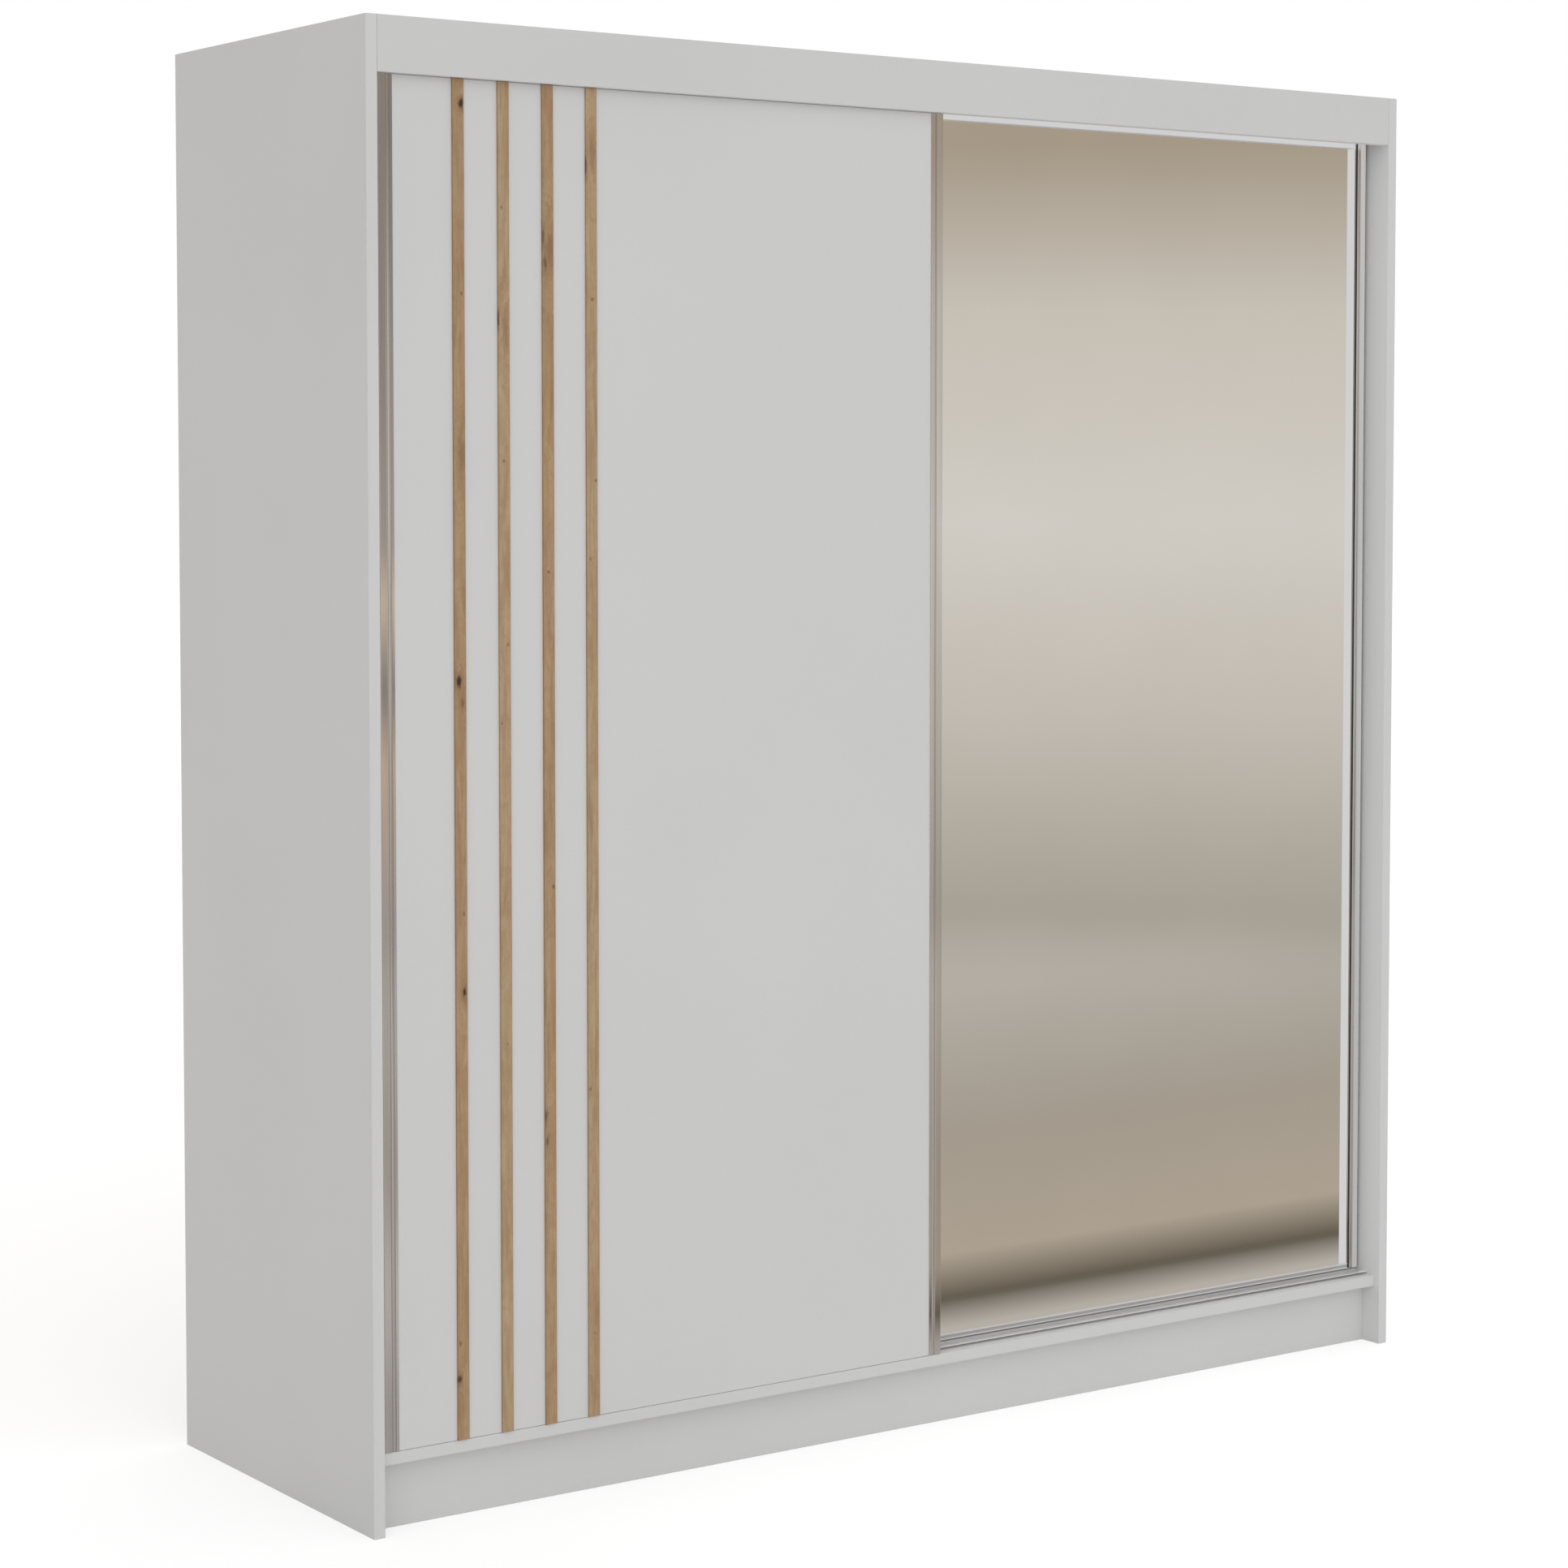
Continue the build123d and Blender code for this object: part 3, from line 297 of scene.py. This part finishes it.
def knot_fields(recipe, middle, knots):
    """For all knots of a strip: how deep a point is in a knot, in its halo, and its swirl."""
    core = halo = swirl = 0.0
    waver = recipe.noise((330, 330, 110), detail=3)
    uneven = recipe.remap(waver, 0.3, 0.7, 0.65, 1.4)
    for height, offset, half_width, half_height, depth in knots:
        away = recipe.vector("SUBTRACT", recipe.point, (middle + offset, 0, height))
        scaled = recipe.vector("MULTIPLY", away, (1 / half_width, 0, 1 / half_height))
        distance = recipe.maths("MULTIPLY", recipe.vector("LENGTH", scaled, out="Value"), uneven)
        inside = recipe.remap(distance, 0.35, 1.1, depth, 0, True)
        around = recipe.remap(distance, 0.6, KNOT_HALO, min(1, 0.35 + depth), 0, True)
        core = recipe.maths("MAXIMUM", core, inside)
        halo = recipe.maths("MAXIMUM", halo, around)
        turn = recipe.remap(distance, 0.0, 2 * KNOT_HALO, half_width * 3.2, 0, True)
        swirl = recipe.maths("ADD", swirl, turn)
    return core, halo, swirl


def oak(name, low, high, number):
    """Knotty oak: soft grain that bends round its knots, flecks, pores and blotches."""
    recipe = Recipe(name)
    core, halo, swirl = knot_fields(recipe, (low.x + high.x) / 2, KNOTS[number])
    moved = recipe.vector("ADD", recipe.point,
                          recipe.add("ShaderNodeCombineXYZ", swirl, 0, 0.37 * number))
    rings = recipe.noise((230, 230, 12), detail=4, roughness=0.6, distortion=0.5, point=moved)
    broad = recipe.noise((70, 70, 7), detail=4, roughness=0.6, distortion=1.0, point=moved)
    blotch = recipe.noise((45, 45, 22), detail=4, roughness=0.65, distortion=1.2, point=moved)
    pores = recipe.noise((2200, 2200, 160), detail=2, roughness=0.7, point=moved)
    figure = recipe.maths("MULTIPLY_ADD", rings, 0.35, recipe.maths("MULTIPLY", broad, 0.65))
    base = recipe.ramp(figure, [(0.34, OAK_DARK), (0.48, OAK_MIDDLE), (0.64, OAK_LIGHT)])
    base = recipe.mix(recipe.remap(blotch, 0.46, 0.70, 0, 0.60), base, OAK_BLOTCH)
    base = recipe.mix(recipe.remap(pores, 0.56, 0.72, 0, 0.35), base, OAK_PORE_AND_SHADE)
    base = recipe.mix(recipe.maths("MULTIPLY", halo, 0.60), base, OAK_HALO)
    base = recipe.mix(core, base, OAK_KNOT)
    across = recipe.part(recipe.point, "X")
    near_side = recipe.maths("MINIMUM", recipe.maths("SUBTRACT", across, low.x),
                             recipe.maths("SUBTRACT", high.x, across))
    # Painted shade: darker along the strip's long edges and on its side faces.
    base = recipe.mix(recipe.remap(near_side, 0, OAK_SHADED_EDGE, 0.40, 0), base, OAK_PORE_AND_SHADE)
    base = recipe.mix(1.0, base, OAK_WARM if number % 2 else OAK_PALE, "MULTIPLY")
    normal = recipe.bump(figure, 0.00010, recipe.bump(pores, -0.00008))
    rough = recipe.remap(rings, 0.3, 0.7, 0.58, 0.72)
    recipe.set(Base_Color=base, Roughness=rough, Normal=normal, Specular_IOR_Level=0.3)
    return recipe.material


def drawn_metal(name, tone, metallic, lines, roughness, depth, sheen_length, shade=None):
    """Drawn aluminium: fine die lines along the profile and slow changes of tone."""
    recipe = Recipe(name)
    die = recipe.noise(lines, detail=3, roughness=0.65)
    slow = recipe.noise(sheen_length, detail=2)
    light = tuple(min(level * 1.10, 0.95) for level in tone) + (1,)
    dark = tuple(level * 0.86 for level in tone) + (1,)
    figure = recipe.maths("MULTIPLY_ADD", die, 0.45, recipe.maths("MULTIPLY", slow, 0.55))
    base = recipe.ramp(figure, [(0.36, dark), (0.64, light)])
    # Painted shade: where the shade mask is, the tone goes towards near black.
    if shade:
        base = recipe.mix(shade(recipe), base, grey(0.02))
    rough = recipe.remap(die, 0.3, 0.7, roughness * 0.8, roughness * 1.25)
    recipe.set(Base_Color=base, Metallic=metallic, Roughness=rough,
               Normal=recipe.bump(die, depth))
    return recipe.material


def within(recipe, value, low, high):
    """One where a value lies between two limits, fading over a short distance outside."""
    above = recipe.remap(value, low - SHADE_FADE, low, 0, 1)
    return recipe.maths("MULTIPLY", above, recipe.remap(value, high, high + SHADE_FADE, 1, 0))


def track_shade(low, high):
    """Painted shade in the recesses of the bottom track: under its nose, and on the face of its
    middle rib.
    """
    def shade(recipe):
        y, z = recipe.part(recipe.point, "Y"), recipe.part(recipe.point, "Z")
        nose_top, rib_bottom = high.z - NOSE_DROP, high.z - RIB_FACE
        behind_nose = within(recipe, y, low.y + NOSE_START, low.y + NOSE_DEPTH)
        under_nose = recipe.remap(z, nose_top, nose_top - NOSE_FADE, 0, NOSE_SHADE)
        rib = recipe.remap(z, rib_bottom, rib_bottom + RIB_FADE, 0, RIB_SHADE)
        return recipe.maths("MAXIMUM", recipe.maths("MULTIPLY", behind_nose, under_nose), rib)
    return shade


def profile_shade(low, high):
    """Painted shade in the shallow relief along the front of the mirror door's bottom profile."""
    def shade(recipe):
        z = recipe.part(recipe.point, "Z")
        relief = within(recipe, z, low.z + RELIEF[0], low.z + RELIEF[1])
        return recipe.maths("MULTIPLY", relief, RELIEF_SHADE)
    return shade


def mirror(low, high):
    """Silvered glass: very slightly wavy, with greenish seamed edges."""
    recipe = Recipe("mirror_glass")
    edge = recipe.remap(edge_distance(recipe, low, high), 0.0, GLASS_SEAM, 1.0, 0.0)
    haze = recipe.noise((5, 5, 5), detail=4)
    base = recipe.ramp(haze, [(0.3, (0.885, 0.892, 0.885, 1)), (0.7, (0.905, 0.910, 0.905, 1))])
    base = recipe.mix(edge, base, (0.52, 0.68, 0.60, 1))
    wave = recipe.noise((3.0, 3.0, 3.0), detail=1)
    rough = recipe.remap(haze, 0.3, 0.7, 0.006, 0.016)
    recipe.set(Base_Color=base, Metallic=1.0, Roughness=rough, Coat_Weight=0.25,
               Coat_Roughness=0.01, Normal=recipe.bump(wave, 0.00006))
    return recipe.material


def fibreboard(low, high):
    """Thin hardboard: white paint towards the inside, raw brown fibre on the outside."""
    recipe = Recipe("back_fibreboard")
    depth = recipe.part(recipe.point, "Y")
    outside = recipe.remap(depth, low.y + PAINT_SKIN[0], low.y + PAINT_SKIN[1], 0, 1)
    fibres = recipe.noise((420, 420, 420), detail=4, roughness=0.7, distortion=1.5)
    clouds = recipe.noise((9, 9, 9), detail=3)
    raw = recipe.ramp(fibres, [(0.25, (0.16, 0.092, 0.048, 1)), (0.5, (0.30, 0.185, 0.10, 1)),
                               (0.8, (0.44, 0.30, 0.18, 1))])
    raw = recipe.mix(recipe.remap(clouds, 0.35, 0.7, 0, 0.35), raw, (0.22, 0.13, 0.07, 1))
    paint = recipe.ramp(clouds, [(0.3, grey(0.70)), (0.7, grey(0.74))])
    rough = recipe.remap(fibres, 0.3, 0.7, 0.55, 0.80)
    recipe.set(Base_Color=recipe.mix(outside, paint, raw), Roughness=rough,
               Normal=recipe.bump(fibres, 0.00015), Specular_IOR_Level=0.3)
    return recipe.material


def plated(name, dark, light, grain, roughness):
    """Zinc plate or die-cast zinc: a mottled crystal tone."""
    recipe = Recipe(name)
    fine = recipe.vector("MULTIPLY", recipe.point, (grain, grain, grain))
    spangle = recipe.add("ShaderNodeTexVoronoi", fine)
    cloud = recipe.noise((60, 60, 60), detail=3)
    figure = recipe.maths("MULTIPLY_ADD", spangle, 0.4, recipe.maths("MULTIPLY", cloud, 0.7))
    base = recipe.ramp(figure, [(0.30, dark), (0.75, light)])
    rough = recipe.remap(cloud, 0.3, 0.7, roughness * 0.8, roughness * 1.3)
    recipe.set(Base_Color=base, Metallic=1.0, Roughness=rough,
               Normal=recipe.bump(figure, 0.00004))
    return recipe.material


def moulded(name, dark, light, grain, roughness, depth):
    """Plastic or rubber: a slight mottle and a fine moulded skin."""
    recipe = Recipe(name)
    mottle = recipe.noise((35, 35, 35), detail=4)
    skin = recipe.noise((grain, grain, grain), detail=3, roughness=0.6)
    base = recipe.ramp(mottle, [(0.3, dark), (0.7, light)])
    rough = recipe.remap(skin, 0.3, 0.7, roughness * 0.85, roughness * 1.15)
    recipe.set(Base_Color=base, Roughness=rough, Normal=recipe.bump(skin, depth))
    return recipe.material


def beech(name):
    """Pale beech with short darker flecks."""
    recipe = Recipe(name)
    grain = recipe.noise((900, 900, 60), detail=3, distortion=0.4)
    base = recipe.ramp(grain, [(0.3, (0.42, 0.27, 0.15, 1)), (0.65, (0.66, 0.48, 0.31, 1))])
    recipe.set(Base_Color=base, Roughness=0.6, Normal=recipe.bump(grain, 0.0001))
    return recipe.material


def pile(name):
    """Grey woven pile with a mottled tone."""
    recipe = Recipe(name)
    tufts = recipe.noise((1200, 1200, 700), detail=3)
    base = recipe.ramp(tufts, [(0.3, grey(0.16)), (0.7, grey(0.42))])
    recipe.set(Base_Color=base, Roughness=0.9, Normal=recipe.bump(tufts, 0.0002),
               Sheen_Weight=0.4)
    return recipe.material


# ---------------------------------------------------------------- painting the CAD nodes


def paint(node, material):
    for slot in NODES[node].material_slots:
        slot.material = material


def slot_nodes():
    """The CAD nodes of each material slot in the record."""
    found = {}
    for part in frame["record"]["subparts"]:
        found.setdefault(part["material_slot"], []).append(part["node"])
    return found


def paint_everything():
    nodes = slot_nodes()
    for node in nodes["white_laminate"] + nodes["door_backing"]:
        # The fascia gets a slightly darker laminate tone: painted shade.
        tone = LAMINATE_TONE * (FASCIA_SHADE_SHARE if node == "fascia" else 1.0)
        paint(node, laminate("laminate_" + node, *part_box(node), tone))
    for number, node in enumerate(sorted(nodes["oak"]), 1):
        paint(node, oak(node, *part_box(node), number))
    upright_lines = (2600, 2600, 3)
    level_lines = (3, 2600, 2600)
    shared = {
        "polished_aluminium": drawn_metal("polished_aluminium", (0.72, 0.71, 0.705), 0.95,
                                          upright_lines, 0.05, 0.000001, (40, 40, 1.6)),
        "track_aluminium": drawn_metal("track_aluminium", (0.84, 0.84, 0.84), 0.35, level_lines,
                                       0.32, 0.00001, (1.5, 40, 40)),
        "chrome": drawn_metal("chrome", (0.80, 0.80, 0.81), 1.0, level_lines, 0.07, 0.000002,
                              (2, 30, 30)),
        "back_fibreboard": fibreboard(*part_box("back_sheet_left")),
        "zinc_steel": plated("zinc_steel", (0.44, 0.46, 0.50, 1), (0.70, 0.72, 0.76, 1), 900, 0.32),
        "zinc_casting": plated("zinc_casting", (0.30, 0.30, 0.31, 1), (0.52, 0.52, 0.53, 1),
                               1500, 0.48),
        "nylon": moulded("nylon", (0.70, 0.70, 0.66, 1), (0.80, 0.80, 0.77, 1), 900, 0.42, 0.00003),
        "white_plastic": moulded("white_plastic", (0.68, 0.68, 0.67, 1), (0.74, 0.74, 0.73, 1),
                                 700, 0.50, 0.00003),
        "black_rubber": moulded("black_rubber", (0.018, 0.018, 0.019, 1), (0.038, 0.038, 0.04, 1),
                                500, 0.75, 0.00008),
        "brush_pile": pile("brush_pile"),
        "beech": beech("beech"),
    }
    for slot, material in shared.items():
        for node in nodes[slot]:
            paint(node, material)
    for node in nodes["mirror_glass"]:
        paint(node, mirror(*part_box(node)))
    satin = ((0.88, 0.88, 0.885), 0.30, level_lines, 0.32, 0.00001, (1.5, 40, 40))
    for node, shade in (("bottom_track", track_shade), ("right_door_bottom_profile", profile_shade)):
        paint(node, drawn_metal(node, *satin, shade(*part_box(node))))
    return shared


# ---------------------------------------------------------------- new meshes


def new_piece(name, points, faces, material):
    """A mesh object in the scene, with one material."""
    mesh = bpy.data.meshes.new(name)
    mesh.from_pydata(points, [], faces)
    mesh.update()
    mesh.materials.append(material)
    piece = bpy.data.objects.new(name, mesh)
    bpy.context.scene.collection.objects.link(piece)
    return piece


# ---------------------------------------------------------------- brush seals


def add_prism(points, faces, root, tip, half):
    """A four-sided bristle tuft from its root to a narrower tip."""
    start = len(points)
    for centre, size in ((root, half), (tip, half * TUFT_TAPER)):
        for across, up in ((-1, -1), (1, -1), (1, 1), (-1, 1)):
            points.append(centre + Vector((0, across * size, up * size)))
    for side in range(4):
        after = (side + 1) % 4
        faces.append((start + side, start + after, start + 4 + after, start + 4 + side))
    faces.append((start + 3, start + 2, start + 1, start))
    faces.append((start + 4, start + 5, start + 6, start + 7))


def add_base_strip(points, faces, corners, low, high):
    """A closed strip over four (x, y) corners, between two heights."""
    points += [Vector((x, y, z)) for z in (low, high) for x, y in corners]
    faces += [(3, 2, 1, 0), (4, 5, 6, 7), (0, 1, 5, 4), (1, 2, 6, 5), (2, 3, 7, 6), (3, 0, 4, 7)]


def brush_seal(door, material):
    """A pile seal of separate tufts on a base strip, in the slot of the outer handle."""
    low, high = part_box(door + "_brush")
    outward = -1 if low.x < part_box(door + "_handle_outer")[0].x else 1
    root, tip = (high.x, low.x) if outward < 0 else (low.x, high.x)
    middle, quarter = (low.y + high.y) / 2, (high.y - low.y) / 4
    base_end = root + outward * PILE_BASE
    random.seed(PILE_SEEDS[door])
    points, faces = [], []
    corners = ((root, low.y), (base_end, low.y), (base_end, high.y), (root, high.y))
    add_base_strip(points, faces, corners, low.z, high.z)
    count = int((high.z - low.z - TUFT_PITCH) / TUFT_PITCH)
    for row in (-1, 1):
        for step in range(count):
            z = low.z + TUFT_PITCH * (step + TUFT_FIRST + TUFT_ROW_SHIFT * row)
            z += random.uniform(-TUFT_STRAY, TUFT_STRAY)
            start = Vector((base_end, middle + row * quarter, z))
            short = random.uniform(0.0, TUFT_SHORTFALL)
            end = Vector((tip - outward * short, middle + row * quarter, z))
            end.y += random.uniform(-TUFT_STRAY, TUFT_STRAY)
            add_prism(points, faces, start, end, TUFT_HALF)
    seal = new_piece(door + "_pile", points, faces, material)
    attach(seal, door)
    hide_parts(door + "_brush")


# ---------------------------------------------------------------- glazing gasket


def gasket(name, across, depth, low, high, material):
    """A rounded black bead between the mirror and a handle's front lip."""
    middle, half = (across[0] + across[1]) / 2, (across[1] - across[0]) / 2
    outline = []
    for step in range(GASKET_STEPS + 1):
        angle = math.pi * step / GASKET_STEPS
        outline.append((middle - half * math.cos(angle), depth - GASKET_RISE * math.sin(angle)))
    points = [Vector((x, y, z)) for z in (low, high) for x, y in outline]
    count = len(outline)
    faces = [(k, k + 1, count + k + 1, count + k) for k in range(count - 1)]
    faces += [(count - 1, 0, count, 2 * count - 1)]
    faces += [tuple(reversed(range(count))), tuple(range(count, 2 * count))]
    bead = new_piece(name, points, faces, material)
    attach(bead, "right_door")


def add_gaskets(material):
    glass_low, glass_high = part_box("right_door_mirror")
    for part in ("outer", "inner"):
        low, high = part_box("right_door_handle_" + part)
        if part == "outer":
            across = (high.x - LIP_REACH[1], high.x - LIP_REACH[0])
        else:
            across = (low.x + LIP_REACH[0], low.x + LIP_REACH[1])
        gasket("right_door_gasket_" + part, across, low.y, glass_low.z, glass_high.z, material)


# ---------------------------------------------------------------- stage


def seen_by(piece, *kinds):
    """Let only these kinds of ray meet a staged piece."""
    for kind in ("camera", "diffuse", "glossy", "transmission", "volume_scatter", "shadow"):
        setattr(piece, "visible_" + kind, kind in kinds)


def stage_piece(name, points, faces, material, smooth=False):
    piece = new_piece(name, points, faces, material)
    if smooth:
        piece.data.shade_smooth()
    return piece


def disc(radius, z):
    """The points and the face of a level disc."""
    points = []
    for step in range(DISC_TURNS):
        angle = 2 * math.pi * step / DISC_TURNS
        points.append((radius * math.cos(angle), radius * math.sin(angle), z))
    return points, [tuple(range(DISC_TURNS))]


def lathe(profile, turns):
    """Turn a profile of (radius, z) points about the Z axis."""
    points, faces = [], []
    for radius, z in profile:
        for step in range(turns):
            angle = 2 * math.pi * step / turns
            points.append((radius * math.cos(angle), radius * math.sin(angle), z))
    for ring in range(len(profile) - 1):
        for step in range(turns):
            after = (step + 1) % turns
            a, b = ring * turns + step, ring * turns + after
            faces.append((a, b, b + turns, a + turns))
    return points, faces


def plain_stage_material(name, tone, glow):
    recipe = Recipe(name)
    cloud = recipe.noise((0.6, 0.6, 0.6), detail=2)
    base = recipe.ramp(cloud, [(0.3, grey(tone * 0.99)), (0.7, grey(tone))])
    recipe.set(Base_Color=base, Roughness=0.9, Specular_IOR_Level=0.1,
               Emission_Color=grey(1.0), Emission_Strength=glow)
    return recipe.material


def emission_only(recipe, colour):
    """Replace the shader with plain light."""
    glow = recipe.add("ShaderNodeEmission", colour, 1.0)
    output = recipe.tree.nodes["Material Output"]
    recipe.tree.links.new(glow, output.inputs["Surface"])
    return recipe.material


def warm_room_material():
    """Soft warm tones on the wall and the floor, a dark band of painted shadow on the floor, and a
    lamp-lit stretch of the wall.
    """
    recipe = Recipe("warm_room")
    x, y, height = (recipe.part(recipe.point, axis) for axis in "XYZ")
    rise = recipe.remap(height, 0, ROOM_TALLEST, 0, 1)
    floor = recipe.ramp(recipe.remap(recipe.maths("ABSOLUTE", y), 0, ROOM_RADIUS, 0, 1), ROOM_FLOOR)
    floor = recipe.mix(recipe.remap(x, *ROOM_BARE_EDGE, 1, 0, True), floor, ROOM_BARE_FLOOR)
    on_wall = recipe.remap(height, 0.0, ROOM_SKIRTING, 0, 1, True)
    warm = recipe.mix(on_wall, floor, recipe.ramp(rise, ROOM_WALL))
    dim = recipe.remap(recipe.maths("ARCTAN2", y, x), *ROOM_DIM_TURN, ROOM_DIM, 1, True)
    warm = recipe.mix(1.0, warm, recipe.add("ShaderNodeCombineXYZ", dim, dim, dim), "MULTIPLY")
    line = recipe.maths("MULTIPLY_ADD", y, LAMP_SLOPE, x)
    from_line = recipe.maths("ABSOLUTE", recipe.maths("SUBTRACT", line, LAMP_LINE))
    share = recipe.maths("MULTIPLY", on_wall, recipe.remap(from_line, *LAMP_SPREAD, 1, 0, True))
    return emission_only(recipe, recipe.mix(share, warm, recipe.ramp(rise, LAMP_WALL)))


def add_stage():
    camera_floor = stage_piece("floor", *disc(STAGE_RADIUS, 0.0),
                               plain_stage_material("pale_floor", FLOOR_TONE, FLOOR_GLOW))
    seen_by(camera_floor, "camera")
    bounce_floor = stage_piece("bounce_floor", *disc(STAGE_RADIUS, -FLOOR_DROP),
                               plain_stage_material("bounce_floor", BOUNCE_TONE, 0.0))
    seen_by(bounce_floor, "diffuse", "glossy", "shadow")

    profile = [(ROOM_START, FLOOR_DROP)]
    for step in range(ROOM_CORNER_STEPS + 1):
        turn = math.pi / 2 * step / ROOM_CORNER_STEPS
        profile.append((ROOM_RADIUS - ROOM_CORNER * (1 - math.sin(turn)),
                        ROOM_CORNER * (1 - math.cos(turn)) + FLOOR_DROP))
    profile.append((ROOM_RADIUS, ROOM_HEIGHT))
    room = stage_piece("warm_room", *lathe(profile, ROOM_TURNS), warm_room_material(), smooth=True)
    seen_by(room, "glossy")

    half_turn = []
    for step in range(-DOME_RINGS + 1, DOME_RINGS):
        turn = math.pi / 2 * step / DOME_RINGS
        half_turn.append((STAGE_RADIUS * math.cos(turn), STAGE_RADIUS * math.sin(turn)))
    white = emission_only(Recipe("white_surround"), grey(1.0))
    dome = stage_piece("white_surround", *lathe(half_turn, ROOM_TURNS), white, smooth=True)
    seen_by(dome, "camera")


def card(name, corners, level, *kinds):
    """A plain glowing rectangle that only some kinds of ray meet."""
    glow = emission_only(Recipe(name), grey(level))
    seen_by(stage_piece(name, corners, [(0, 1, 2, 3)], glow), *kinds)


def add_cards():
    """Glowing white cards that only reflections meet, a painted reflection at the mirror's top and
    right edges, and a card that throws the mirror's light forward.
    """
    glass_low, glass_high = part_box("right_door_mirror")
    fascia_low, fascia_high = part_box("fascia")
    side_low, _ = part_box("side_panel_right")
    floor_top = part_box("bottom_panel")[1].z
    back, roof = fascia_high.y + CARD_GAP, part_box("top_panel")[0].z
    left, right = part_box("side_panel_left")[1].x, side_low.x - CARD_GAP
    # Painted reflection: glowing white cards that only the mirror meets, just behind the fascia's
    # back and just inside the right side panel.
    card("painted_reflection_over_mirror", [(left, back, fascia_low.z), (right, back, fascia_low.z),
                              (right, back, roof), (left, back, roof)], PAINTED_REFLECTION_LEVEL, "glossy")
    card("painted_reflection_beside_mirror", [(right, side_low.y, floor_top), (right, glass_low.y, floor_top),
                                (right, glass_low.y, roof), (right, side_low.y, fascia_low.z)],
         PAINTED_REFLECTION_LEVEL, "glossy")
    front = glass_low.y - CARD_GAP
    card("mirror_light", [(glass_low.x, front, glass_low.z), (glass_high.x, front, glass_low.z),
                          (glass_high.x, front, glass_high.z), (glass_low.x, front, glass_high.z)],
         BACKLIT_LEVEL, "diffuse")


def add_sky():
    """Soft light from all round, stronger from the front and from the front left."""
    world = bpy.data.worlds.new("studio")
    bpy.context.scene.world = world
    world.use_nodes = True
    nodes, links = world.node_tree.nodes, world.node_tree.links
    split = nodes.new("ShaderNodeSeparateXYZ")
    links.new(nodes.new("ShaderNodeTexCoord").outputs["Generated"], split.inputs[0])
    side, front = (nodes.new("ShaderNodeMath") for _ in range(2))
    side.operation = front.operation = "MULTIPLY_ADD"
    links.new(split.outputs["X"], side.inputs[0])
    side.inputs[1].default_value = SKY_LEFT_GAIN
    side.inputs[2].default_value = -SKY_FRONT_GAIN
    links.new(side.outputs[0], front.inputs[0])
    links.new(split.outputs["Y"], front.inputs[1])
    front.inputs[2].default_value = SKY_LEVEL
    links.new(front.outputs[0], nodes["Background"].inputs["Strength"])
    nodes["Background"].inputs["Color"].default_value = grey(1.0)


def add_camera():
    data = bpy.data.cameras.new("camera")
    data.sensor_width = SENSOR
    data.lens = CAMERA_LENS
    data.shift_y = CAMERA_SHIFT
    camera = bpy.data.objects.new("camera", data)
    camera.location = CAMERA_PLACE
    camera.rotation_euler = (math.radians(90 - CAMERA_PITCH), 0, math.radians(-CAMERA_YAW))
    bpy.context.scene.collection.objects.link(camera)
    bpy.context.scene.camera = camera


bpy.context.scene.view_settings.view_transform = "Standard"
finishes = paint_everything()
for door in DOORS:
    brush_seal(door, finishes["brush_pile"])
add_gaskets(finishes["black_rubber"])
add_stage()
add_cards()
add_sky()
add_camera()
